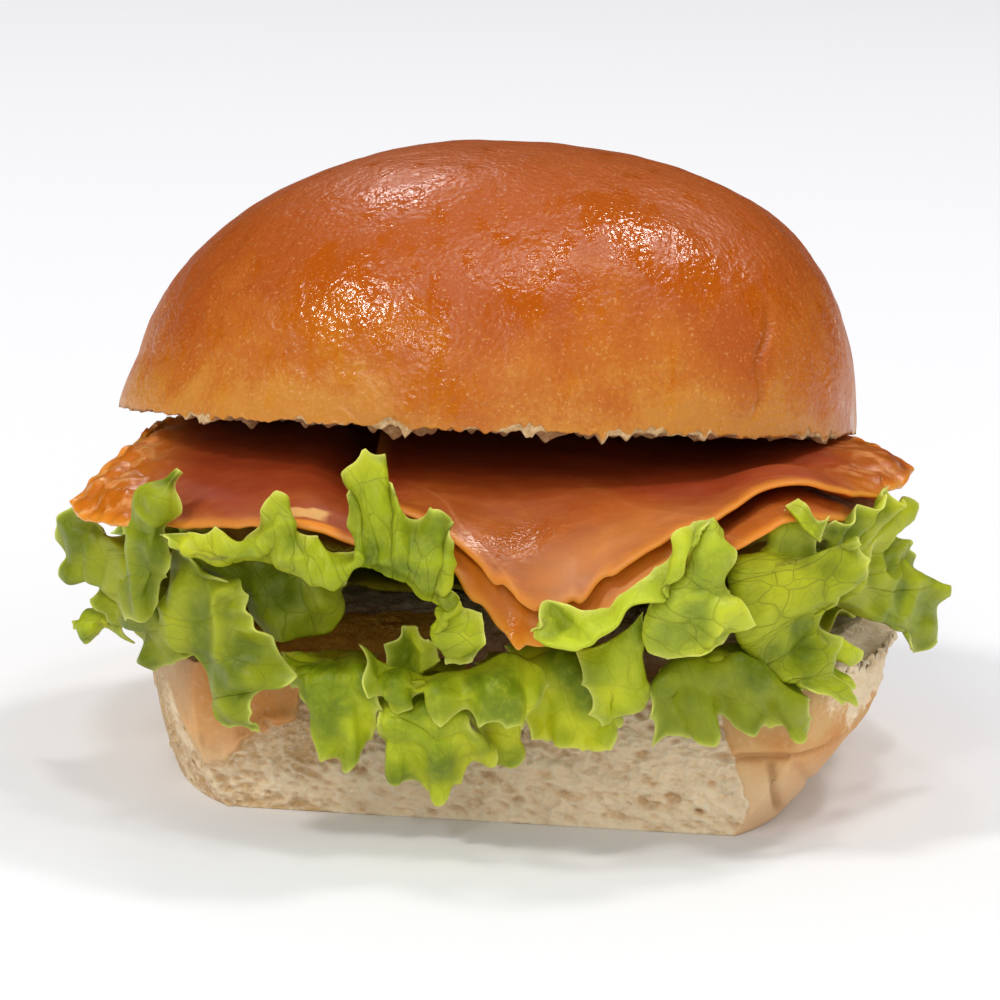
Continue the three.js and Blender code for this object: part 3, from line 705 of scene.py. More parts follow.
lower_angles = even_then_dense(LOWER_COLUMNS, 0.95, 3.2)[None, :]
facing_front = np.sin(lower_angles) < 0
lower_radius = outline_radius(
    lower_angles,
    LOWER_WIDTH / 2,
    np.where(facing_front, LOWER_FRONT, LOWER_BACK),
    np.where(facing_front, LOWER_SQUARE_FRONT, LOWER_SQUARE_BACK),
)
frontness = np.clip(-np.sin(lower_angles), 0, 1) ** 3
tuck = 0.18 + 0.12 * np.cos(lower_angles)
steepness = 1.7 - 0.5 * np.clip(np.cos(lower_angles), 0, 1)
base_reach = 1 - tuck * (1 - frontness)

base_share = np.linspace(0.02, 1, BASE_ROWS, endpoint=False)[:, None]
climb = np.linspace(0, 1, WALL_ROWS)[:, None]
top_share = np.linspace(0.99, 0.02, TOP_ROWS)[:, None]
wall_reach = 1 - (1 - base_reach) * (1 - climb) ** steepness + 0.012 * np.sin(np.pi * climb)
reach = np.concatenate([base_reach * base_share, wall_reach, top_share * np.ones_like(lower_radius)])
height = np.concatenate([0 * base_share, LOWER_CUT_HEIGHT * climb, LOWER_CUT_HEIGHT + 0 * top_share])
lower_x = LOWER_CENTRE_X + lower_radius * reach * np.cos(lower_angles)
lower_y = lower_radius * reach * np.sin(lower_angles)
lower = np.stack([lower_x, lower_y, height * np.ones_like(lower_radius)], -1)

torn_y = TORN_Y + TORN_SLANT * lower[..., 0]
is_torn = span(torn_y - lower[..., 1], -0.6, 0.8)
wander = 7 * smooth_noise(lower, 7, 66) + 3 * smooth_noise(lower, 2.5, 67)
at_left = span(-lower[..., 0], 28, 33) * span(-lower[..., 1] + wander, 8, 22)
is_torn = np.maximum(is_torn, at_left)
lower[..., 1] = np.maximum(lower[..., 1], torn_y)
print("lower half:", lower.shape[0] * lower.shape[1], "points")

# %% [markdown]
# Crust and crumb meet in ragged lines. At the left the crust folds over the torn face, at the right
# it ends in creases, and the cut face on top is all crumb.

# %% Where crumb shows on the lower half
# Corners (x, z) of the two lines on the torn face between which the crumb shows.
FOLDED_CRUST = [
    (-60, 17), (-44.5, 14.5), (-41, 8.5), (-38.4, 6.2),
    (-36, 6.4), (-31.6, 10.5), (-26.2, 13), (-24, 30),
]
CRUST_EDGE_RIGHT = [(28, 30), (30.5, 17), (32.2, 12.0), (33.6, 8.5), (34.8, 4.5), (34.9, 0)]

x, y, z = np.moveaxis(lower, -1, 0)
ragged = 0.7 * fractal(lower, 3.0, 3, 61)
left_fold = np.interp(x, *np.array(FOLDED_CRUST).T) - z + ragged
right_edge = np.interp(-z, *(np.array(CRUST_EDGE_RIGHT)[:, ::-1] * [-1, 1]).T)
soft_left = 3.0 * span(-x, 40, 45)
left_crumb = span(left_fold + 0.9 * fractal(lower, 1.6, 3, 64), -1.0 - soft_left, 1.0 + 0.6 * soft_left)
right_crumb = span(right_edge - x + ragged, -0.3, 0.5)
pale_rim = span(z + 2.5 * ragged, 13, 17) * span(x, 40, 49) * span(-y + 2 * ragged, -8, 8)
torn_crumb = np.maximum(is_torn * left_crumb * right_crumb, pale_rim)
on_top = np.concatenate([np.zeros(BASE_ROWS + WALL_ROWS), np.ones(TOP_ROWS)])[:, None]
on_base = np.concatenate([np.ones(BASE_ROWS), np.zeros(WALL_ROWS + TOP_ROWS)])[:, None]
crumb = np.maximum(torn_crumb * (1 - on_base), on_top * np.ones_like(x))
print("crumb covers", (crumb > 0.5).mean().round(2), "of the points")

# %% [markdown]
# Pulled crumb has strands drawn out sideways, with pores between them. Noise stretched sideways makes
# the strands, and cell noise of three sizes digs the pores, most of them at the lower right.

# %% Relief of the crumb
BILLOW_SIZE = np.array([11.0, 5.0, 4.0])
STRAND_SIZE = np.array([3.6, 2.5, 1.6])
FLUFF_SIZE = np.array([1.3, 1.0, 0.8])
BIG_PORE_SIZE = np.array([5.2, 4.0, 3.0])
SMALL_PORE_SIZE = np.array([2.1, 1.8, 1.4])
TINY_PORE_SIZE = np.array([0.9, 0.9, 0.7])

slanted = lower + 0.35 * x[..., None] * [0, 0, 1]
billows = fractal(lower, BILLOW_SIZE, 2, 71)
strands = 1 - 2 * np.abs(fractal(slanted, STRAND_SIZE, 3, 73))
fluff = 1 - 2 * np.abs(fractal(lower, FLUFF_SIZE, 2, 75))
rightness = span(x, -6, 26)
big_near, big_name = cells(lower, BIG_PORE_SIZE, 81)
small_near, small_name = cells(lower, SMALL_PORE_SIZE, 85)
tiny_near, _ = cells(lower, TINY_PORE_SIZE, 88)
big_pores = span(0.36 - big_near, 0, 0.3) * (big_name > 0.8) * rightness
small_pores = span(0.5 - small_near, 0, 0.4) * (small_name > 0.3) * mix(0.25, 0.9, rightness)
tiny_pores = span(0.45 - tiny_near, 0, 0.4)
crumb_relief = 0.55 * billows + 0.38 * strands + 0.28 * fluff - 0.25
crumb_relief -= 0.9 * big_pores + 0.55 * small_pores + 0.16 * tiny_pores
print("crumb relief runs from", crumb_relief.min().round(2), "to", crumb_relief.max().round(2), "mm")

# %% [markdown]
# The crust keeps only soft dents, a lip where it folds over at the left, and three creases with a
# puffed band above them at the right. Relief goes out from the torn plane, up from the cut face, and
# along the normal elsewhere.

# %% Relief of the lower crust
# Each short crease runs down from the long one: x at its top, slant, width and depth.
SHORT_CREASES = [(37.3, 0.22, 0.6, 1.0), (40.6, 0.5, 0.8, 0.5)]

crease_and_painted_shade = bell((z - 11.0, 0.08 * (x - 32), 0.55)) * span(x, 31, 34) * (1 - span(x, 43, 50))
for top_x, slant, width, depth in SHORT_CREASES:
    down = bell((x - top_x, slant * (11 - z), width)) * span(11.5 - z, 0, 1.5) * span(z, 0.5, 3)
    crease_and_painted_shade += depth * down
crease_and_painted_shade *= (y < -15) * (1 - on_top)
puffed = 0.8 * span(z, 10.5, 13) * (1 - span(z, 15.5, 20)) * span(x, 29, 36) * (y < 0)
crust_relief = 0.18 * fractal(lower, 9, 3, 91) + 0.25 - 1.0 * crease_and_painted_shade + 0.55 * puffed

lower_normal = surface_normals(lower)
lower_normal *= np.sign((lower_normal * (lower - [LOWER_CENTRE_X, 0, 10])).sum(-1, keepdims=True))
toward = np.where(is_torn[..., None] > 0.5, [0, -1, 0], lower_normal)
toward = np.where(on_top[..., None] > 0.5, [0, 0, 1], toward)
fold_lip = 1.3 * bell((left_fold, -1.0, 1.3)) * is_torn
relief = mix(crust_relief + fold_lip, crumb_relief, crumb) * (1 - on_base)
relief *= span(z, 0.0, 1.0) * 0.8 + 0.2
lower = lower + toward * relief[..., None]
lower[..., 2] = np.maximum(lower[..., 2], 0) * (1 - on_base)
rim_fall = span(z, 17.5, 20) * (1 - on_top)
lower[..., 2] += rim_fall * crumb * (0.5 * fluff - 0.2)
lip = np.where(on_top > 0.5, span(reach, 0.35, 0.8), span(z, 13, 20))
lower[..., 2] += 3.2 * (lip * span(x, 34, 44) * span(-y, -12, -4))

lower_marks = {
    "crumb": crumb,
    # depth: painted light on the crumb's raised strands and painted shade in its pores, darker towards
    # the left, and painted light on the right part of the cut face
    "depth": crumb_relief + 0.15 - 0.75 * span(-x, 8, 30) + 0.9 * on_top * span(x, 34, 42),
    # The yellow oil stain, painted bright as painted light where the cut face shows in the shaded gap at
    # the mouth
    "stain_and_painted_light": on_top * span(-x, 4, 10) * (1 - span(-x, 32, 40)) * (y < -5),
    "low": np.maximum(1 - span(z, 4, 14), 0.9 * span(-x, 37, 45) * span(-y, 0, 20)),
    # Painted shade in the creases and along the lip of the fold
    "crease_and_painted_shade": crease_and_painted_shade + 0.3 * fold_lip,
}
lower_roll = make_rings("roll_lower", lower, lower_marks)
print("lower half is", np.ptp(lower[..., 0]).round(1), "mm wide")

# %% [markdown]
# Bread crumb is painted pale on its raised strands, as painted light, and warm brown down in the
# pores, as painted shade. It is darker towards the left, and the right part of the cut face is painted
# paler as painted light. The crust of this lower half is much paler than the glazed top, because it
# baked against the tin: a dusty beige that turns tan towards the cut, painted darker in its creases
# and along the lip of its fold as painted shade. Under the oily salmon the crumb is stained yellow,
# and where it shows in the gap at the mouth the stain is painted bright as painted light.

# %% Crumb finish
def crumb_finish():
    finish = Finish("crumb_torn")
    crumb_mark = finish.mark("crumb")
    fuzz = finish.noise(0.7, 5.0, 0.7, (0.8, 1, 1.2))
    cloud = finish.noise(8, 3.0)
    torn = finish.coats(
        colour(0.60, 0.36, 0.15),
        (cloud, colour(0.74, 0.48, 0.23)),
        # Painted light on raised crumb and on the right of the cut face, painted shade in the pores
        (finish.span(finish.mark("depth"), -1.1, 0.15), colour(0.98, 0.76, 0.49)),
        (finish.span(fuzz, 0.40, 0.75) * 0.5, colour(1.0, 0.92, 0.76)),
        # Oil stain, painted bright as painted light in the shaded gap at the mouth
        (finish.mark("stain_and_painted_light"), colour(0.95, 0.55, 0.08)),
    )
    baked = finish.noise(12, 4.0)
    speck = finish.noise(0.9, 5.0, 0.7)
    crust = finish.coats(
        colour(0.66, 0.40, 0.16),
        (finish.span(baked, 0.35, 0.65), colour(0.62, 0.25, 0.055)),
        (finish.mark("low") * 0.7, colour(0.70, 0.50, 0.30)),
        (finish.span(speck, 0.5, 0.75) * 0.35, colour(0.80, 0.60, 0.38)),
        # Painted shade in the creases and along the fold's lip
        (finish.span(finish.mark("crease_and_painted_shade"), 0.1, 1.0) * 0.45, colour(0.38, 0.19, 0.07)),
    )
    grit = finish.noise(0.35, 3.0, 0.6)
    return finish.surface(
        Base_Color=finish.blend(finish.span(crumb_mark + (fuzz - 0.5) * 0.8, 0.2, 0.8), crust, torn),
        Roughness=0.62 + 0.26 * crumb_mark,
        Specular_IOR_Level=0.3,
        Subsurface_Weight=0.15,
        Subsurface_Radius=(1.0, 0.6, 0.35),
        Subsurface_Scale=0.0015,
        Normal=finish.bump(crumb_mark * (fuzz * 0.52 + grit * 0.22) + speck * 0.12),
    )


dress(lower_roll, "bun_lower", crumb_finish())

# %% [markdown]
# Smoked salmon is cut thin across a side of fish, so a slice is a limp wet sheet. Four slices lie
# over the lettuce. They follow the bed below them, a height worked out for any place in plan: level
# under the mouth, falling over the front as a tongue and away at both ends.

# %% The bed under the salmon
SALMON_LOWER = 1.2
SALMON_UPPER = 4.0
SALMON_THICKNESS = 2.0
BED_LEVEL = 42.5
ROOM_UNDER_ROLL = 6.3


def bed_height(x, y):
    """Height of the lettuce bed: a level roof that follows the upper half at the back, less a
    tongue-shaped fall at the front and the falls at both ends, plus a small arch at the right."""
    under_roll = UPPER_CUT_HEIGHT - y * np.tan(UPPER_TILT) - ROOM_UNDER_ROLL
    roof = (BED_LEVEL + under_roll - np.hypot(BED_LEVEL - under_roll, 1.5)) / 2 + 0.4
    tongue = 2.8 + 12 * bell((x, 5, 13))
    front = tongue * (np.maximum(-y - 40, 0) / 18.5) ** 2
    left_corner = np.maximum(-x - 40 + 0.6 * (-y - 10), 0)
    left = 9.5 * (left_corner / 30) ** 2.5
    right = 2 * np.clip((x - 46) / 10, 0, 1) ** 2
    right += 1.5 * np.clip((x - 44) / 6, 0, 1) * span(-y, 26, 36)
    arch = 3 * bell((x, 37.5, 5.5)) * span(-y, 33, 44)
    return roof - front - left - right + arch


def in_stack(x, y, level):
    """A point a level above the bed, square to it: the bed point plus level times its normal."""
    step = 0.5
    slope_x = (bed_height(x + step, y) - bed_height(x - step, y)) / (2 * step)
    slope_y = (bed_height(x, y + step) - bed_height(x, y - step)) / (2 * step)
    up = np.stack([-slope_x, -slope_y, np.ones_like(x)], -1)
    up /= np.linalg.norm(up, axis=-1, keepdims=True)
    return np.stack([x, y, bed_height(x, y)], -1) + up * np.asarray(level)[..., None]


print("bed at the mouth", float(bed_height(0.0, -40.0)), "and at the tip", float(bed_height(5.0, -58.0)))

# %% [markdown]
# A slice is drawn in plan by its back and front edge, and each lies at its own level in the stack.
# The left slice climbs onto the lower one, and the upper slice rises a little at the right.

# %% Outlines of the slices
SLICES = {
    "salmon_left": {
        "front": [
            (-55.5, -29), (-53.3, -35), (-48.5, -41), (-42, -47), (-34, -53), (-27, -56), (-18, -57.5),
            (-9, -56),
        ],
        "back": [(-47, -12), (-44, 4), (-34, 22), (-22, 34), (-9, 37)],
        "level": lambda x, y: mix(
            SALMON_LOWER,
            SALMON_UPPER,
            np.maximum(span(-18 - x, 0, 8), span(-17.2 - x, 0, 1) * span(y, -8, 8)),
        ),
    },
    "salmon_under": {
        "front": [(-8.5, -56), (-3, -57.4), (3.5, -58.8), (10, -59), (17, -59), (26, -57)],
        "back": [(-8.5, 36), (26, 35)],
        "level": lambda x, y: SALMON_LOWER + 0.8 * span(-y, 46, 52),
    },
    "salmon_upper": {
        "front": [
            (-17, -51.5), (-8, -54.3), (0, -55.8), (8, -57), (14, -57.4), (20, -56.8), (26, -55),
            (32, -52.2), (38, -48.6), (44, -43.8), (49.5, -37.5), (53, -30), (54.5, -22),
        ],
        "back": [(-17, 34), (8, 39), (30, 32), (42, 15), (48, -8), (50, -15)],
        "level": lambda x, y: SALMON_UPPER
        + 1.8 * span(x, 28, 44) * (1 - span(x, 50, 58)) * span(y, -44, -28),
    },
    "salmon_right": {
        "front": [(26.8, -57.6), (32, -57), (38, -53.6), (44, -46.8), (49, -38), (51.5, -29)],
        "back": [(26.8, 32), (38, 20), (45, 4), (48.5, -13)],
        "level": lambda x, y: SALMON_LOWER + 0.3 * span(-y, 37, 43),
    },
}
print(len(SLICES), "slices")

# %% [markdown]
# The flesh shows as low ridges across the slice, with small folds, and the outer left end is lumpy.
# Where one slice lies on another its edge sags a little onto it.

# %% Relief of a slice
def edge_distance(points):
    """Distance in mm from the nearest of the four borders of a grid, along the grid lines."""
    across = lengths_along(points, 1)
    along = lengths_along(points, 0)
    return np.minimum(
        np.minimum(across, across[:, -1:] - across), np.minimum(along, along[-1:] - along)
    )


def slice_relief(middle, x, y, edge, sag, seed):
    """Relief in mm along the normal, and what the finish needs of it: the ridges from 0 in the
    grooves to 1, and where the slice is lumpy."""
    along = x * 0.55 + y + 3.0 * smooth_noise(middle, 24, seed)
    flakes = np.abs(np.sin(np.pi * along / 13 + 1.2 * smooth_noise(middle, 12, seed + 1)))
    ridges = -0.10 * (1 - flakes**0.5)
    folds = 0.40 * smooth_noise(middle * [1, 1, 0.5], 12, seed + 4)
    folds += 0.07 * fractal(middle, 4, 2, seed + 5)
    lumpy = span(-x, 42, 48) + 0.5 * span(x, 42, 46) * span(y, -42, -34)
    lumps = 0.75 * smooth_noise(middle, 4.2, seed + 8) + 0.5 * smooth_noise(middle, 2.0, seed + 9)
    relief = span(edge, 0, 4) * (ridges + folds) + lumpy * lumps - sag * (1 - span(edge, 0, 5))
    return relief, flakes, lumpy


origin = np.zeros((1, 1, 3))
print("relief of a slice at the origin in mm:", slice_relief(origin, 0.0, 0.0, 9.0, 0.6, 1)[0].item())

# %% [markdown]
# The colour of a slice isn't even. It is painted deep red, as painted shadow, under the roll and in two
# patches further out, orange at both ends and painted orange as painted light on the under slice,
# painted paler along the front as painted light, and one streak at the mouth is oily. These places
# are marked on the mesh.

# %% Marks of a slice
def slice_marks(name, middle, x, y, edge, flakes, lumpy, seed):
    """Numbers for the finish, from the place in plan and from the distance to the edge."""
    # Painted shadow: deep red under the roll, and two more patches of painted shade further out
    shade = 1 - span(-y + 2 * smooth_noise(middle, 9, seed + 6), 36, 53)
    shade *= 1 - span(np.abs(x + 1), 39, 51)
    shade += 0.7 * span(-x, 10, 16) * (1 - span(-x, 33, 41))
    shade += 0.8 * span(x, 12, 26) * (1 - span(x, 40, 48)) * span(y, -51, -45)
    streak_y = y + 51.0 - 0.25 * (x - 2)
    # Painted light: paler patches along the front of the slices
    front_painted_light = bell((x, 12, 12), (y, -54, 3.2)) + 0.7 * bell((x, -29, 8), (y, -50.5, 2.5))
    jagged = 0.5 * smooth_noise(middle, 1.2, seed + 15)
    scrap = 1 - span(np.maximum(np.abs(x + 24.4) / 2.0, np.abs(y + 54.2) / 1.1) + jagged, 0.85, 1.1)
    bright_edge = span(x, -28.5, -27) * (1 - span(x, -22, -20)) * (1 - span(y, -56, -55.2))
    bright_edge += 0.9 * span(-x, 41, 44) * span(y, -24, -18) * (1 - span(edge, 1.5, 3.0))
    is_left = name == "salmon_left"
    return {
        "flake": flakes,
        "edge": span(edge, 0, 2.6),
        "lump": lumpy,
        "shade": np.clip(shade, 0, 1),
        "oily": bell((x, 2, 9.5), (streak_y, 0, 2.1)) + bell((x, 2, 2.5), (y, -58, 2)),
        "front_painted_light": front_painted_light,
        # The orange ends, and the under slice painted orange as painted light where the upper slice
        # shades it
        "orange_and_painted_light": span(-x, 38, 46) + span(x, 34, 44) * span(-y, 30, 38) + (name == "salmon_under"),
        "scrap": scrap * is_left,
        "bright": bright_edge * is_left,
    }


print("marks of a slice:", *slice_marks("", origin, *np.zeros((5, 1, 1)), 1))

# %% [markdown]
# The grid lines crowd together near all four borders, where the thickness falls to nothing on a
# quarter circle, so the edge comes out round.

# %% Salmon slices
SLICE_GRIDS = {"salmon_upper": (195, 250), "salmon_left": (190, 220)}
USUAL_SLICE_GRID = (165, 180)
SAG = {"salmon_upper": 0.6, "salmon_left": 0.6}


def crowded(count):
    """Steps from 0 to 1 that crowd together at both ends: t - 0.96 sin(2 pi t) / (2 pi)."""
    t = np.linspace(0, 1, count)
    return t - 0.96 * np.sin(2 * np.pi * t) / (2 * np.pi)


def salmon_slice(name, front, back, level, seed):
    """One slice: straight lines in plan from the back edge to the front edge, lifted into the
    stack, with relief along the normal and a round edge."""
    rows, columns = SLICE_GRIDS.get(name, USUAL_SLICE_GRID)
    u = crowded(columns)
    v = crowded(rows)
    front_line = smooth_line(front, u)
    back_line = smooth_line(back, u)
    ragged = smooth_noise(np.pad(front_line, ((0, 0), (0, 1))), 2.2, seed + 3)
    front_line = mix(front_line, back_line, 0.006 * ragged[:, None])
    share = (1 - (1 - v) ** 1.6)[:, None, None]
    plan = mix(back_line[None], front_line[None], share)
    x, y = plan[..., 0], plan[..., 1]
    flat = in_stack(x, y, level(x, y))
    edge = edge_distance(flat)
    relief, flakes, lumpy = slice_relief(flat, x, y, edge, SAG.get(name, 0), seed)
    middle = flat + surface_normals(flat) * relief[..., None]
    rounded = np.sqrt(1 - (1 - np.clip(edge / (SALMON_THICKNESS / 2), 0, 1)) ** 2)
    thinning = 0.38 + 0.62 * span(edge, 0.5, 6)
    half = SALMON_THICKNESS / 2 * np.maximum(rounded, 0.02) * thinning
    marks = slice_marks(name, middle, x, y, edge, flakes, lumpy, seed)
    return make_sheet(name + "_slice", middle, half, marks)


slices = {}
for seed, (name, outline) in enumerate(SLICES.items()):
    slices[name] = salmon_slice(name, **outline, seed=100 + 20 * seed)
print("slices made:", list(slices))

# %% [markdown]
# Salmon is translucent and oily. Light goes in and comes out again as deep orange, so the finish has
# strong subsurface light with a long red reach. Thin pale lines of fat run with the ridges, the thin
# edge is brighter, and where the slice is oily it is smoother and finely wrinkled, so it glints.

# %% Salmon finish
def salmon_finish():
    finish = Finish("salmon_smoked")
    lump = finish.mark("lump")
    shade = finish.mark("shade")
    oily = finish.mark("oily")
    cloud = finish.noise(14, 2.0)
    fibre = finish.noise(2.0, 4.0, 0.6, (0.5, 1.5, 1))
    fat = 1 - finish.span(finish.mark("flake") + (fibre - 0.5) * 0.12, 0.01, 0.10)
    lump_painted_highlights = finish.span(finish.noise(2.6, 3.0), 0.5, 0.68)
    flesh = finish.coats(
        colour(0.29, 0.055, 0.003),
        (finish.span(cloud, 0.35, 0.65), colour(0.39, 0.09, 0.006)),
        # Painted light along the front
        (finish.mark("front_painted_light") * 0.9, colour(0.53, 0.18, 0.03)),
        # Painted shadow of the roll
        (shade, colour(0.28, 0.031, 0.003)),
        # Orange ends, and painted light on the under slice
        (finish.mark("orange_and_painted_light") * 0.8 * (1 - 0.7 * shade), colour(0.58, 0.165, 0.006)),
        (finish.span(fibre, 0.4, 0.8) * 0.3 * (1 - 0.6 * shade), colour(0.66, 0.21, 0.03)),
        (fat * 0.16 * (1 - shade), colour(0.80, 0.42, 0.16)),
        ((1 - finish.mark("edge")) * 0.6, colour(0.80, 0.30, 0.02)),
        # Painted highlights: pale spots on the lumpy ends stand for glints
        (lump * lump_painted_highlights * 0.55, colour(0.90, 0.46, 0.17)),
        (finish.mark("bright"), colour(0.80, 0.25, 0.01)),
        (finish.mark("scrap") * 0.85, colour(0.72, 0.40, 0.12)),
    )
    wrinkles = finish.noise(0.45, 1.5, 0.5, (0.7, 1, 1))
    film = finish.noise(3.2, 3.0, 0.5)
    wet = finish.span(finish.noise(8, 3.0), 0.45, 0.62)
    return finish.surface(
        Base_Color=flesh,
        Roughness=0.54 - 0.10 * wet - 0.38 * oily - 0.26 * lump,
        Specular_IOR_Level=0.5,
        Subsurface_Weight=0.45,
        Subsurface_Radius=(1.0, 0.32, 0.06),
        Subsurface_Scale=0.0035,
        Normal=finish.bump(wrinkles * (0.02 + 0.12 * oily + 0.06 * lump) + film * 0.12),
    )


SALMON = salmon_finish()
for name, piece in slices.items():
    dress(piece, name, SALMON)

# %% [markdown]
# The lettuce comes next. Each leaf that shows at the mouth is given by a few lines of points, from
# its root to its frilled rim, and its surface is the smooth surface through them. The first three
# numbers say how far it bulges between its lines.

